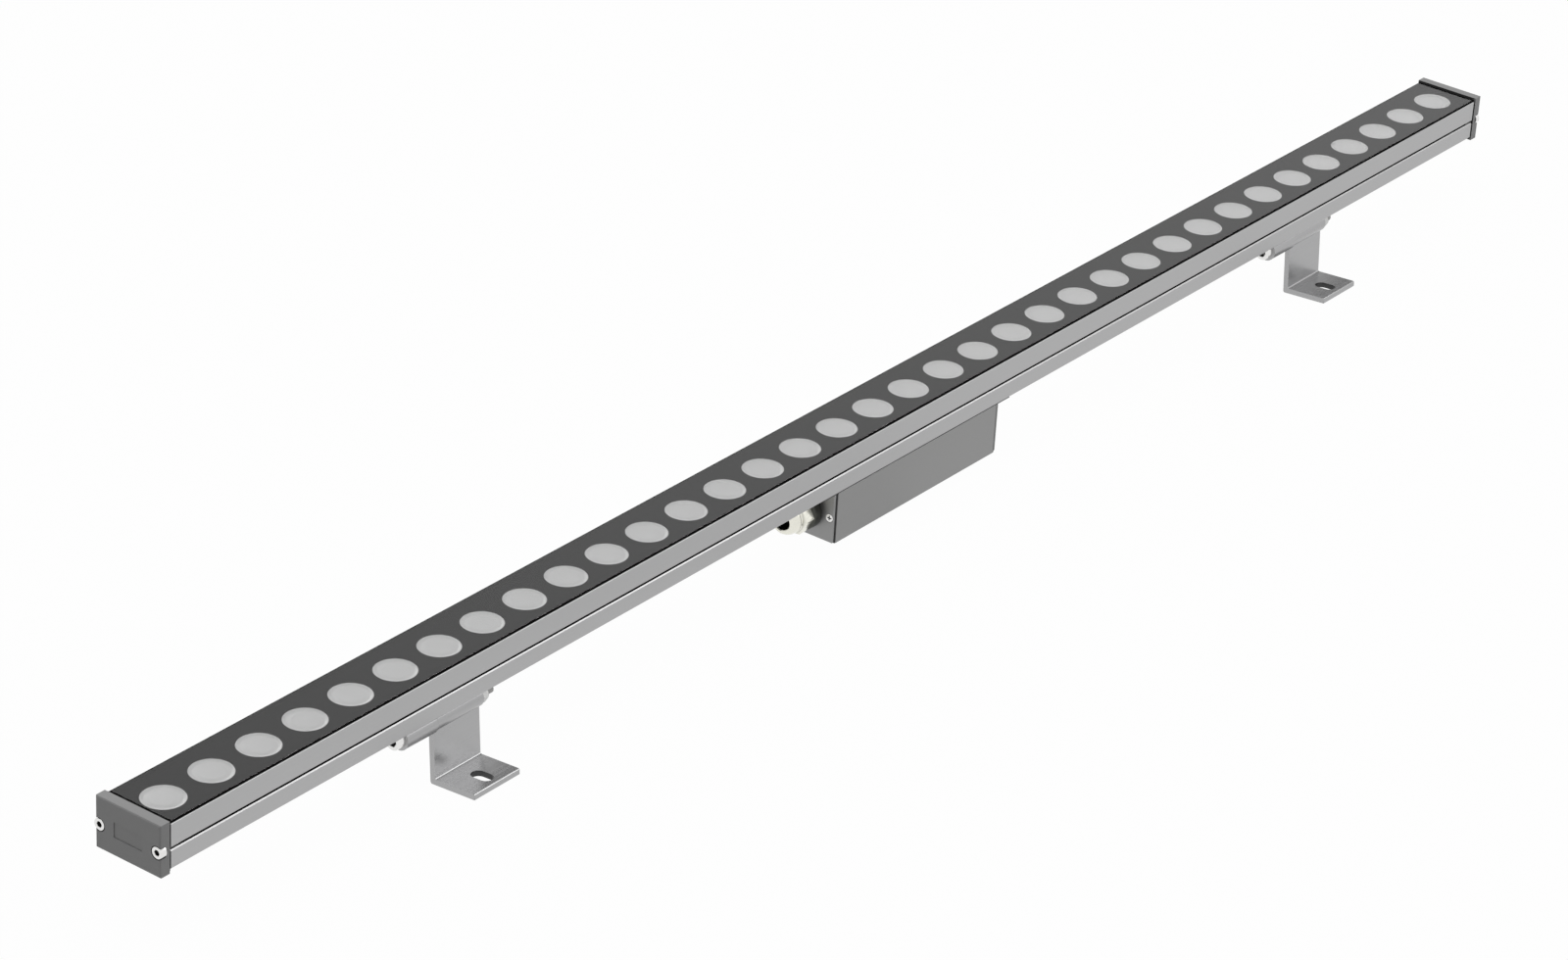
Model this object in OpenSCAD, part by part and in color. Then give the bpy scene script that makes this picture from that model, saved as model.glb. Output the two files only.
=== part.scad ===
// Linear wall washer lamp: 36 lenses in a slim aluminium housing, tilting on two bolted hinge feet.
// The origin lies on the fixing surface under the hinge axis, midway along the lamp.
// X runs along the lamp, -Y is the side the feet point to, +Z is up.

/* [Lamp] */
// Number of lenses in the row
lens_count = 36; // [28:1:48]
// Distance from one lens to the next
lens_pitch = 27.5; // [24:0.5:34]
// Lean of the lamp towards the toes of the feet, from level
lamp_lean = 3.9; // [0:0.1:12]
// Clearance of a screw or bolt shank in its threaded hole
thread_clear = 0.05; // [0.02:0.01:0.1]

/* [Housing profile] */
// Width of the housing across its side walls
housing_w = 34.8; // [33.5:0.1:40]
// Depth of the legs' lower edge below the glass
housing_h = 21.5; // [21:0.1:26]
// Thickness of the side walls
wall_t = 1.6; // [1.2:0.1:2.2]
// Thickness of the lips beside the glass
lip_t = 0.55; // [0.4:0.05:0.8]
// Height of the glass above the lips of the side walls
lip_drop = 0.85; // [0.4:0.05:1.5]
// Rounding of the lips' outer edges
lip_round = 0.4; // [0.2:0.05:0.5]
// Rounding of the legs' lower outer edges
leg_round = 0.5; // [0.2:0.1:0.8]
// Width of each ledge that carries the glass
ledge_w = 2.6; // [2:0.1:3.2]
// Thickness of the ledges
ledge_t = 1.4; // [1:0.1:1.8]
// Thickness of the web that carries the LED board
web_t = 2.6; // [2:0.1:2.9]
// Height of the underside channel, from the legs' lower edge to the web
channel_h = 4.3; // [4:0.1:5]
// Distance between the rails of the nut track
track_w = 10; // [9:0.2:11]
// Width of the nut track's mouth
track_mouth = 5.6; // [5.4:0.1:6.4]
// Thickness of the rails and of their hooks
rail_t = 1.4; // [1.2:0.1:1.6]
// Length of the cooling fins under the web
fin_h = 2.2; // [1.5:0.1:2.6]
// Thickness of the cooling fins
fin_t = 1.1; // [0.8:0.1:1.4]
// Distance between neighbouring cooling fins
fin_pitch = 3.1; // [2.8:0.1:3.4]

/* [Glass and optics] */
// Thickness of the toughened face glass
glass_t = 4; // [3.5:0.1:4.4]
// Ground arris along the glass's long edges
glass_arris = 0.3; // [0.1:0.05:0.6]
// Width of the sealant bead beside the glass
bead_w = 0.45; // [0.3:0.05:0.8]
// Width of the sealant bead at the ends of the glass
bead_end = 1.2; // [0.8:0.1:2.5]
// Depth of the sealant bead below the glass's top
bead_drop = 0.15; // [0.05:0.05:0.35]
// Thickness of the seal tape under the mask
tape_t = 0.3; // [0.2:0.1:0.6]
// Thickness of the black mask under the glass
mask_t = 0.8; // [0.5:0.1:1.2]
// Radius of the round windows in the mask
window_r = 9.66; // [8.5:0.1:10.2]
// Radius of a lens's flange
lens_flange_r = 10.9; // [10.5:0.1:11.8]
// Thickness of a lens's flange
lens_flange_t = 1.2; // [0.8:0.1:1.8]
// Radius of a lens's cone at its flange
lens_top_r = 9.9; // [9:0.1:10.3]
// Radius of a lens's foot on the board
lens_foot_r = 5; // [4.6:0.1:6]
// Radius of the gutter inside a lens's rim
gutter_r = 9.4; // [8.8:0.1:9.6]
// Depth of the gutter inside a lens's rim
gutter_depth = 0.5; // [0.2:0.05:0.8]
// Radius of the raised face of a lens
face_r = 7; // [6:0.1:7.8]
// Radius of the boss in the middle of a lens's face
boss_r = 4.8; // [3.5:0.1:5.4]
// Height of the steps up to a lens's face and up to its boss
face_step = 0.22; // [0.1:0.02:0.3]
// Radius of the pocket over the LED
pocket_r = 3.4; // [3:0.1:3.8]
// Height of the pocket over the LED
pocket_h = 3.2; // [2.8:0.1:4]
// Clearance between the LED board and the screw ports
board_gap = 1.05; // [0.5:0.05:1.8]
// Thickness of the LED board
board_t = 1.6; // [1:0.2:2]
// Distance from the board's ends to the housing's ends
board_end = 2.5; // [2:0.5:5]
// Side of an LED's square base
led_s = 3.5; // [2.8:0.1:4]
// Thickness of an LED's base
led_t = 0.8; // [0.6:0.1:1.2]
// Radius of an LED's dome
led_dome_r = 1.4; // [1:0.1:1.6]
// Lenses from one board screw to the next
board_screw_step = 3; // [2:1:4]
// Radius of a board screw's shank
board_screw_r = 1.25; // [1:0.05:1.5]
// Length of a board screw's shank
board_screw_l = 3.6; // [3:0.1:3.8]
// Radius of a board screw's head
board_screw_head_r = 2.2; // [1.8:0.1:2.5]
// Height of a board screw's head
board_screw_head_h = 1.6; // [1.2:0.1:2]

/* [End caps] */
// Thickness of the end caps
cap_t = 5.4; // [4.6:0.1:8]
// Overhang of the end caps past the side walls
cap_over = 0.3; // [0.1:0.1:1.5]
// Height of the end caps above the glass's top
cap_rise = 0.9; // [0.1:0.1:1.5]
// Reach of the end caps below the housing's legs
cap_skirt = 1.7; // [0.2:0.1:4]
// Bevel along the end caps' outer edges
cap_bevel = 0.5; // [0.2:0.1:1]
// Thickness of the end gaskets
gasket_t = 0.9; // [0.4:0.1:1.2]
// Setback of the end gaskets' edge from the caps' edge
gasket_inset = 0.75; // [0.3:0.05:1]
// Distance of the cap screws from the outer faces of the side walls
port_inset = 1.7; // [1.5:0.1:2]
// Depth of the cap screws below the glass's top
cap_screw_drop = 12; // [11.4:0.1:12.1]
// Radius of the screw ports in the side walls
port_r = 1.4; // [1.3:0.05:1.5]
// Wall round the screw ports
port_wall = 1.25; // [1:0.05:1.3]
// Height of the side groove's upper edge above the screws
groove_rise = 0.6; // [0.2:0.1:0.8]
// Depth of the side groove's lower edge below the screws
groove_fall = 0.85; // [0.5:0.05:1.2]
// Width of the bevel below the side groove
groove_bevel = 0.5; // [0.3:0.05:0.9]
// Radius of the counterbores in the caps
cap_bore_r = 3.1; // [2.9:0.1:3.4]
// Radius of a cap screw's head
cap_head_r = 2.75; // [2.4:0.05:2.85]
// Height of a cap screw's head
cap_head_h = 3; // [2.4:0.1:3.4]
// Length of a cap screw's shank
cap_screw_l = 8; // [6:1:16]
// Width across the flats of a cap screw's socket
cap_hex = 2.5; // [2:0.1:3]
// Length of the shallow panel in a cap's outer face
panel_w = 15.4; // [12:0.2:20]
// Height of the shallow panel in a cap's outer face
panel_h = 7; // [5:0.1:9]
// Depth of the panel's middle below the glass's top
panel_drop = 11.2; // [10:0.1:13]
// Depth of the shallow panel in a cap's outer face
panel_d = 0.4; // [0.2:0.1:0.8]
// Reach of a cap's spigot into the housing, past the gasket
spigot_l = 1.2; // [0.8:0.1:1.4]
// Clearance round a cap's spigot
spigot_clear = 0.6; // [0.4:0.1:1]

/* [Hinges] */
// Distance between the two feet, middle to middle
hinge_spacing = 660; // [420:10:690]
// Shift of the feet's middles towards the right end
hinge_shift = 10.3; // [0:0.1:15]
// Height of the hinge axis above the fixing surface
hinge_h = 29.9; // [26:0.1:45]
// Distance of the hinge axis from the outer face of the side wall
hinge_inset = 6.3; // [5.6:0.1:6.4]
// Depth of the hinge axis below the housing's legs
hinge_gap = 4.4; // [4.2:0.1:5]
// Length of the leaf's knuckle
leaf_l = 19; // [16:0.5:26]
// Radius of the leaf's knuckle
leaf_r = 5.5; // [5.2:0.1:5.9]
// Thickness of the leaf's plate
leaf_t = 2.8; // [2.2:0.1:3.2]
// Reach of the leaf's plate past the middle of the housing
leaf_reach = 9.5; // [8:0.1:13]
// Radius of the hinge bolts
bolt_r = 2.5; // [2:0.05:2.6]
// Running clearance of the hinge bolts in the feet
bolt_clear = 0.08; // [0.03:0.01:0.1]
// Reach of the hinge bolts past their nuts
bolt_past = 5.3; // [2:0.1:10]
// Radius of a hinge bolt's head
bolt_head_r = 4.25; // [3.8:0.05:4.5]
// Height of a hinge bolt's head
bolt_head_h = 4; // [3.4:0.1:5.5]
// Width across the flats of a hinge bolt's socket
bolt_hex = 4; // [3:0.1:4.5]
// Thickness of the washer between the knuckles
washer_t = 0.5; // [0.3:0.1:1]
// Radius of the washer between the knuckles
washer_r = 4.8; // [4:0.1:4.9]
// Side clearance of a foot between the washer and the nut
foot_float = 0.1; // [0.05:0.05:0.3]
// Thickness of the hinge nuts
nut_h = 4; // [3:0.1:5]
// Width across the flats of the hinge nuts
nut_hex = 8; // [7.5:0.1:8.5]
// Radius of the clamp screws in the nut track
clamp_r = 2.5; // [2:0.1:2.6]
// Radius of a clamp screw's button head
clamp_head_r = 4.75; // [4:0.05:5]
// Height of a clamp screw's button head
clamp_head_h = 2.7; // [2:0.1:3]
// Thickness of the track nuts
track_nut_t = 2.6; // [2:0.1:2.7]
// Length of the track nuts
track_nut_l = 12; // [9:0.5:16]
// Side clearance of the track nuts in the track
track_nut_clear = 0.2; // [0.1:0.05:0.4]

/* [Feet] */
// Width of a foot, along the lamp
foot_w = 29; // [24:0.5:30]
// Radius of a foot's knuckle
foot_knuckle_r = 4.95; // [4.6:0.05:5.2]
// Thickness of a foot's plate and of its toe
foot_t = 2.7; // [2.2:0.1:3.5]
// Distance of the plate's front face in front of the hinge axis
foot_front = 2.05; // [1.6:0.05:2.4]
// Reach of the toe in front of the plate
toe_reach = 21.8; // [20:0.1:30]
// Rounding of the corner between plate and toe, inside
foot_fillet = 0.9; // [0.5:0.1:2]
// Rounding of the corner between plate and toe, outside
foot_round = 1; // [0.5:0.1:2]
// Bevel along the toe's front edge
toe_bevel = 0.35; // [0.2:0.05:0.8]
// Width of the fixing slot
slot_w = 6.5; // [5:0.1:8]
// Length of the fixing slot
slot_l = 11; // [9:0.5:14]
// Distance of the slot's middle in front of the plate
slot_y = 13.4; // [12:0.1:14]

/* [Driver box] */
// Length of the driver box over its end plates
box_l = 127.6; // [110:0.1:160]
// Offset of the driver box from the middle of the lamp
box_x = 2.2; // [-10:0.1:10]
// Width of the driver box
box_w = 33; // [31:0.1:34.6]
// Height of the driver box
box_h = 25.7; // [23:0.1:25.9]
// Thickness of the driver box's walls
box_t = 1.5; // [1.2:0.1:2]
// Thickness of the driver box's end plates
end_plate_t = 1.5; // [1:0.1:2]
// Setback of the end plates' edges from the shell's edges
end_plate_inset = 0.5; // [0.2:0.1:0.8]
// Thickness of the driver box's end gaskets
box_gasket_t = 0.7; // [0.3:0.1:0.8]
// Distance of the end plates' screws from the box's sides
box_port_inset = 2.9; // [2.5:0.1:3.3]
// Radius of the end plates' screws
box_screw_r = 1.4; // [1.2:0.05:1.5]
// Length of the end plates' screws
box_screw_l = 10; // [6:1:14]
// Radius of an end plate screw's countersunk head
box_head_r = 2.15; // [1.9:0.05:2.3]
// Wall round the screw ports of the driver box
box_port_wall = 1.1; // [0.9:0.1:1.3]
// Thickness of the mounting plate between box and housing
mount_t = 1.2; // [1:0.1:2]
// Setback of the mounting plate's sides from the box's sides
mount_inset = 0.1; // [0.05:0.05:1.5]
// Length of the mounting plate's tab past each end of the box
mount_tab = 8.5; // [8:0.1:14]
// Radius of the screws in the mounting plate's tabs
tab_screw_r = 2; // [1.6:0.1:2.2]
// Radius of a tab screw's button head
tab_head_r = 3.7; // [3.2:0.05:3.9]
// Height of a tab screw's button head
tab_head_h = 2.2; // [1.6:0.1:2.6]
// Radius of the screws between mounting plate and box
join_screw_r = 1.4; // [1:0.1:1.5]
// Length of the screws between mounting plate and box
join_screw_l = 4.2; // [3.4:0.1:5]
// Radius of the heads of the screws between mounting plate and box
join_head_r = 2.4; // [2:0.1:2.6]
// Height of the heads of the screws between mounting plate and box
join_head_h = 1.6; // [1.2:0.1:1.8]
// Distance of those screws from the box's sides
join_side = 5.5; // [4.9:0.1:6.5]
// Distance of those screws from the ends of the box's shell
join_inset = 12; // [8:1:20]
// Clearance between the driver's circuit board and the box's side walls
driver_board_gap = 2; // [1:0.5:4]
// Height of the posts that carry the driver's circuit board
post_h = 3; // [2:0.5:4]
// Radius of the posts that carry the driver's circuit board
post_r = 2.2; // [1.8:0.1:2.6]
// Radius of the screws in the posts
post_screw_r = 1; // [0.8:0.05:1.1]
// Length of the screws in the posts
post_screw_l = 4; // [3:0.5:4]
// Distance of the driver board's ends from the shell's ends
driver_board_end = 16; // [14:1:20]
// Distance of the posts from the driver board's edges
post_inset = 4.4; // [3:0.1:5]
// Length of the transformer
transformer_l = 18; // [14:1:20]
// Width of the transformer
transformer_w = 16; // [12:1:18]
// Height of the transformer
transformer_h = 13; // [9:0.5:13.5]
// Radius of the two capacitors
capacitor_r = 4.2; // [3:0.1:4.4]
// Height of the two capacitors
capacitor_h = 12; // [8:0.5:13.5]
// Distance of the first capacitor from the driver board's end
capacitor_inset = 11.5; // [11:0.5:13]
// Distance from one capacitor to the other
capacitor_pitch = 12; // [10:0.5:12]
// Radius of the choke coil
coil_r = 4.5; // [3:0.1:5]
// Distance of the choke coil from the driver board's side
coil_inset = 3; // [2.5:0.1:4]
// Height of the choke coil
coil_h = 6; // [4:0.5:9]
// Length of the terminal block
terminal_l = 10; // [8:1:12]
// Width of the terminal block
terminal_w = 6; // [5:0.5:7]
// Height of the terminal block
terminal_h = 5; // [4:0.5:8]
// Distance of the terminal block's outer end from the driver board's end
terminal_inset = 17.5; // [15:0.5:18]

/* [Cable gland] */
// Radius of the gland's thread
gland_r = 6; // [5.5:0.1:6.5]
// Radius of the gland body's round flange
gland_flange_r = 9.2; // [8:0.1:9.6]
// Thickness of the gland body's round flange
gland_flange_t = 5.2; // [3:0.1:6.4]
// Radius of the neck that the cap nut is screwed on
gland_neck_r = 5.4; // [5.2:0.1:5.8]
// Width across the flats of the gland's cap nut
gland_nut_hex = 16; // [15.4:0.2:17]
// Length of the cap nut's hexagon
gland_nut_l = 5.8; // [4:0.1:7]
// Length of the cap nut's dome
gland_dome_l = 7; // [4:0.5:8]
// Radius of the dome where it leaves the hexagon
gland_dome_r = 7.6; // [7.2:0.1:7.7]
// Radius of the dome's flat end
gland_end_r = 5.6; // [5:0.1:6.2]
// Radius of the dome's mouth
gland_mouth_r = 4.2; // [3.8:0.1:4.3]
// Radius of the cable hole in the gland's seal
cable_r = 3.2; // [2.6:0.1:3.4]
// Outer radius of the gland's rubber seal
gland_seal_r = 4.4; // [4.3:0.1:4.6]
// Thickness of the lock nut inside the box
locknut_t = 3; // [2.5:0.5:4]
// Width across the flats of the lock nut inside the box
locknut_hex = 15; // [14.5:0.5:17]
// Radius of the grommet's hole for the leads
grommet_bore_r = 2.4; // [2.2:0.1:2.6]
// Wall of the grommet's neck
grommet_wall = 1; // [0.8:0.1:1.2]
// Width of the grommet's flange past its neck
grommet_lip = 1.2; // [0.8:0.1:1.6]
// Thickness of the grommet's flange
grommet_lip_t = 1; // [0.6:0.1:1.2]
// Radius of each supply lead
lead_r = 0.9; // [0.6:0.05:1]

/* [Hidden] */
$fn = 64;

// Small overrun that keeps cutting faces off the faces they cut
cut = 0.5;
// Room left under a screw's tip in a blind hole
tip_gap = 0.1;
cap_w = housing_w + 2 * cap_over;
cap_drop = housing_h + cap_skirt;
cap_screw_y = housing_w / 2 - port_inset;
hinge_y = housing_w / 2 - hinge_inset;
hinge_drop = housing_h + hinge_gap;
board_w = 2 * (cap_screw_y - port_r - port_wall - board_gap);
housing_l = lens_count * lens_pitch;
glass_l = housing_l - 2 * bead_end;
recess_w = housing_w - 2 * lip_t;
glass_w = recess_w - 2 * bead_w;
mask_z = -glass_t;
ledge_z = mask_z - mask_t - tape_t;
ledge_gap = recess_w - 2 * ledge_w;
chamber_w = housing_w - 2 * wall_t;
channel_z = -housing_h + channel_h;
web_z = channel_z + web_t;
board_z = web_z + board_t;
lens_z = mask_z - mask_t;
spigot_w = 2 * (cap_screw_y - port_r - port_wall - spigot_clear);
spigot_z = board_z + spigot_clear;
spigot_h = ledge_z - ledge_t - spigot_clear - spigot_z;
track_z = -housing_h + rail_t;
rail_y = track_w / 2 + rail_t;

knuckles_l = leaf_l + washer_t + foot_float + foot_w;
bolt_l = knuckles_l + foot_float + nut_h + bolt_past;
leaf_z = -housing_h - leaf_t;
clamp_l = leaf_t + rail_t + track_nut_t;

shell_l = box_l - 2 * end_plate_t - 2 * box_gasket_t;
box_screw_y = box_w / 2 - box_port_inset;
box_head_h = 0.75 * end_plate_t;
mount_w = box_w - 2 * mount_inset;
join_y = box_w / 2 - join_side;
driver_board_w = box_w - 2 * box_t - 2 * driver_board_gap;
mount_z = -housing_h - mount_t;
box_mid_z = mount_z - box_h / 2;
box_bottom_z = mount_z - box_h;
tab_x = box_l / 2 + mount_tab / 2;
board_top_z = box_bottom_z + box_t + post_h + board_t;
driver_board_l = shell_l - 2 * driver_board_end;
gland_x = box_x - box_l / 2;
gland_through = end_plate_t + box_gasket_t + locknut_t;
gland_nut_x = gland_x - gland_flange_t - gland_nut_l;
grommet_r = grommet_bore_r + grommet_wall;
grommet_x = lens_pitch;

function lens_x(i) = (i - (lens_count - 1) / 2) * lens_pitch;
function hex_r(flats) = flats / 2 / cos(30);

// Places lamp parts, drawn level with the glass's top at z = 0, on the leaning lamp
module on_lamp() {
    translate([0, 0, hinge_h])
        rotate([lamp_lean, 0, 0])
            translate([0, hinge_y, hinge_drop])
                children();
}

// Runs a profile drawn in Y and Z along X, starting at x
module along_x(x, l) {
    translate([x, 0, 0])
        rotate([90, 0, 90])
            linear_extrude(l)
                children();
}

// A round bar along X
module bar_x(x, l, r) {
    translate([x, 0, 0])
        rotate([0, 90, 0])
            cylinder(h = l, r = r);
}

// A hexagonal bar along X, flats facing up and down
module hex_x(x, l, flats) {
    along_x(x, l)
        circle(r = hex_r(flats), $fn = 6);
}

// Removes the square corner outside an arc of radius r
module corner_cut(r) {
    difference() {
        square(2 * r);
        circle(r = r);
    }
}

// Both sides of the profile
module both_sides() {
    children();
    mirror([1, 0])
        children();
}

// Profile of the screw port and of the groove that opens it to the side
module port_profile() {
    port_z = -cap_screw_drop;
    translate([cap_screw_y, port_z])
        circle(r = port_r);
    polygon([
        [cap_screw_y, port_z + groove_rise],
        [housing_w / 2 + cut, port_z + groove_rise],
        [housing_w / 2 + cut, port_z - groove_fall - groove_bevel],
        [housing_w / 2, port_z - groove_fall - groove_bevel],
        [housing_w / 2 - groove_bevel, port_z - groove_fall],
        [cap_screw_y, port_z - groove_fall]
    ]);
}

// Profile of the chamber for board and lenses, narrowed by the walls of the screw ports
module chamber_profile() {
    difference() {
        translate([-chamber_w / 2, web_z])
            square([chamber_w, ledge_z - ledge_t - web_z]);
        both_sides()
            translate([cap_screw_y, -cap_screw_drop])
                circle(r = port_r + port_wall);
    }
}

// Profile of the nut track and cooling fins that hang in the underside channel
module track_profile() {
    both_sides() {
        translate([track_w / 2, -housing_h])
            square([rail_t, channel_h + cut]);
        translate([track_mouth / 2, -housing_h])
            square([rail_y - track_mouth / 2, rail_t]);
        for (i = [1, 2])
            translate([rail_y + i * fin_pitch - fin_t / 2, channel_z - fin_h])
                square([fin_t, fin_h + cut]);
    }
}

module housing_profile() {
    difference() {
        translate([-housing_w / 2, -housing_h])
            square([housing_w, housing_h - lip_drop]);
        translate([-recess_w / 2, ledge_z])
            square([recess_w, -ledge_z]);
        translate([-ledge_gap / 2, ledge_z - ledge_t - cut])
            square([ledge_gap, ledge_t + 2 * cut]);
        chamber_profile();
        difference() {
            translate([-chamber_w / 2, -housing_h - cut])
                square([chamber_w, channel_h + cut]);
            track_profile();
        }
        both_sides() {
            port_profile();
            translate([housing_w / 2 - lip_round, -lip_drop - lip_round])
                corner_cut(lip_round);
            translate([housing_w / 2 - leg_round, -housing_h + leg_round])
                mirror([0, 1])
                    corner_cut(leg_round);
        }
    }
}

module housing() {
    color("#a4a6a8")
        on_lamp()
            difference() {
                along_x(-housing_l / 2, housing_l)
                    housing_profile();
                board_screw_places()
                    translate([0, 0, board_z - board_screw_l - tip_gap])
                        cylinder(h = board_screw_l, r = board_screw_r + thread_clear);
                translate([grommet_x, 0, -housing_h - cut])
                    cylinder(h = web_z + housing_h + 2 * cut, r = grommet_r + thread_clear);
            }
}

module face_glass() {
    color("#3c3e40", 0.5)
        on_lamp()
            along_x(-glass_l / 2, glass_l)
                polygon([
                    [-glass_w / 2, -glass_t],
                    [glass_w / 2, -glass_t],
                    [glass_w / 2, -glass_arris],
                    [glass_w / 2 - glass_arris, 0],
                    [-glass_w / 2 + glass_arris, 0],
                    [-glass_w / 2, -glass_arris]
                ]);
}

// A flat frame between an outer and an inner rectangle, centred on the lamp
module frame_ring(outer, inner, z, h) {
    translate([0, 0, z])
        linear_extrude(h)
            difference() {
                square(outer, center = true);
                square(inner, center = true);
            }
}

module glass_seal() {
    color("#141414")
        on_lamp() {
            outer = [housing_l, recess_w];
            frame_ring(outer, [glass_l, glass_w], mask_z - mask_t, glass_t + mask_t - bead_drop);
            frame_ring(outer, [glass_l - 2 * bead_end, ledge_gap + bead_w], ledge_z, tape_t);
        }
}

module mask_plate() {
    color("#2c2d2e")
        on_lamp()
            difference() {
                translate([-glass_l / 2, -glass_w / 2, mask_z - mask_t])
                    cube([glass_l, glass_w, mask_t]);
                for (i = [0:lens_count - 1])
                    translate([lens_x(i), 0, mask_z - mask_t - cut])
                        cylinder(h = mask_t + 2 * cut, r = window_r);
            }
}

// One lens: a flanged cone with a face that rises in two low steps, and a pocket over its LED
module lens() {
    lens_h = lens_z - board_z;
    slope_h = lens_h - gutter_depth / 4;
    face_h = lens_h + 0.75 * face_step;
    boss_h = face_h + face_step;
    rotate_extrude()
        polygon([
            [pocket_r, 0],
            [lens_foot_r, 0],
            [lens_top_r, lens_h - lens_flange_t],
            [lens_flange_r, lens_h - lens_flange_t],
            [lens_flange_r, lens_h],
            [gutter_r, lens_h],
            [gutter_r - gutter_depth / 2, lens_h - gutter_depth],
            [face_r + face_step, slope_h],
            [face_r, face_h],
            [boss_r + face_step, face_h],
            [boss_r, boss_h],
            [0, boss_h],
            [0, pocket_h],
            [pocket_r, pocket_h]
        ]);
}

module lenses() {
    color("#d4d5d4")
        on_lamp()
            for (i = [0:lens_count - 1])
                translate([lens_x(i), 0, board_z])
                    lens();
}

// Board screws stand halfway between two lenses
module board_screw_places() {
    for (i = [board_screw_step:board_screw_step:lens_count - 1])
        translate([lens_x(i) - lens_pitch / 2, 0, 0])
            children();
}

module led_board() {
    color("#dfe0dc")
        on_lamp()
            difference() {
                translate([-housing_l / 2 + board_end, -board_w / 2, web_z])
                    cube([housing_l - 2 * board_end, board_w, board_t]);
                board_screw_places()
                    translate([0, 0, web_z - cut])
                        cylinder(h = board_t + 2 * cut, r = board_screw_r + thread_clear);
            }
}

module led_chips() {
    color("#e8d98a")
        on_lamp()
            for (i = [0:lens_count - 1])
                translate([lens_x(i), 0, board_z]) {
                    translate([-led_s / 2, -led_s / 2, 0])
                        cube([led_s, led_s, led_t]);
                    translate([0, 0, led_t])
                        rotate_extrude()
                            intersection() {
                                circle(r = led_dome_r);
                                square(led_dome_r);
                            }
                }
}

// A pan-headed screw pointing down, with its head's underside at z = 0
module screw_down(r, l, head_r, head_h) {
    translate([0, 0, -l])
        cylinder(h = l + head_h / 2, r = r);
    rotate_extrude()
        polygon([[0, 0], [head_r, 0], [head_r, head_h * 0.5], [head_r * 0.7, head_h], [0, head_h]]);
}

module board_screws() {
    color("#c9cacb")
        on_lamp()
            board_screw_places()
                translate([0, 0, board_z])
                    screw_down(board_screw_r, board_screw_l, board_screw_head_r, board_screw_head_h);
}

// Centres of a cap's two screws, seen along X
module cap_screw_places() {
    for (side = [-1, 1])
        translate([0, side * cap_screw_y, -cap_screw_drop])
            children();
}

// The left end cap, with its inner face at x = 0 and its outer face at x = -cap_t
module end_cap() {
    cap_h = cap_rise + cap_drop;
    difference() {
        union() {
            intersection() {
                translate([0, 0, -cap_drop])
                    linear_extrude(cap_h)
                        polygon([
                            [0, -cap_w / 2],
                            [0, cap_w / 2],
                            [-cap_t + cap_bevel, cap_w / 2],
                            [-cap_t, cap_w / 2 - cap_bevel],
                            [-cap_t, -cap_w / 2 + cap_bevel],
                            [-cap_t + cap_bevel, -cap_w / 2]
                        ]);
                translate([0, cap_w / 2, 0])
                    rotate([90, 0, 0])
                        linear_extrude(cap_w)
                            polygon([
                                [0, -cap_drop],
                                [0, cap_rise],
                                [-cap_t + cap_bevel, cap_rise],
                                [-cap_t, cap_rise - cap_bevel],
                                [-cap_t, -cap_drop + cap_bevel],
                                [-cap_t + cap_bevel, -cap_drop]
                            ]);
            }
            translate([-cut, -spigot_w / 2, spigot_z])
                cube([gasket_t + spigot_l + cut, spigot_w, spigot_h]);
        }
        cap_screw_places() {
            bar_x(-cap_t - cut, cap_head_h + 0.1 + cut, cap_bore_r);
            bar_x(-cap_t - cut, cap_t + 2 * cut, port_r + 0.1);
        }
        translate([-cap_t - cut, -panel_w / 2, -panel_drop - panel_h / 2])
            cube([panel_d + cut, panel_w, panel_h]);
    }
}

// The left end gasket, with its inner face at x = 0
module end_gasket() {
    hole = spigot_clear / 2;
    difference() {
        translate([-gasket_t, -cap_w / 2 + gasket_inset, -cap_drop + gasket_inset])
            cube([gasket_t, cap_w - 2 * gasket_inset, cap_rise + cap_drop - 2 * gasket_inset]);
        translate([-gasket_t - cut, -spigot_w / 2 - hole, spigot_z - hole])
            cube([gasket_t + 2 * cut, spigot_w + 2 * hole, spigot_h + 2 * hole]);
        cap_screw_places()
            bar_x(-gasket_t - cut, gasket_t + 2 * cut, port_r + 0.1);
    }
}

// The left end cap's two screws, with the cap's inner face at x = 0
module cap_screws() {
    cap_screw_places()
        difference() {
            union() {
                bar_x(-cap_t, cap_head_h, cap_head_r);
                bar_x(-cap_t, cap_head_h + cap_screw_l, port_r - thread_clear);
            }
            hex_x(-cap_t - cut, cap_head_h / 2 + cut, cap_hex);
        }
}

// Puts a left-end part at the left end, or mirrored at the right end
module at_end(side) {
    mirror([side > 0 ? 1 : 0, 0, 0])
        translate([-housing_l / 2, 0, 0])
            children();
}

module end_cap_at(side) {
    color("#6c6e70")
        on_lamp()
            at_end(side)
                translate([-gasket_t, 0, 0])
                    end_cap();
}

module end_gasket_at(side) {
    color("#202122")
        on_lamp()
            at_end(side)
                end_gasket();
}

module end_cap_left() {
    end_cap_at(-1);
}

module end_cap_right() {
    end_cap_at(1);
}

module end_gasket_left() {
    end_gasket_at(-1);
}

module end_gasket_right() {
    end_gasket_at(1);
}

module end_cap_screws() {
    color("#d6d7d8")
        on_lamp()
            for (side = [-1, 1])
                at_end(side)
                    translate([-gasket_t, 0, 0])
                        cap_screws();
}

// Left end of the hinge on the given side: the leaf's knuckle starts here
function hinge_start(side) = side * hinge_spacing / 2 + hinge_shift + foot_w / 2 - knuckles_l;

// Things on the hinge axis, in the lamp's own frame
module on_hinge_axis() {
    translate([0, -hinge_y, -hinge_drop])
        children();
}

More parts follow.
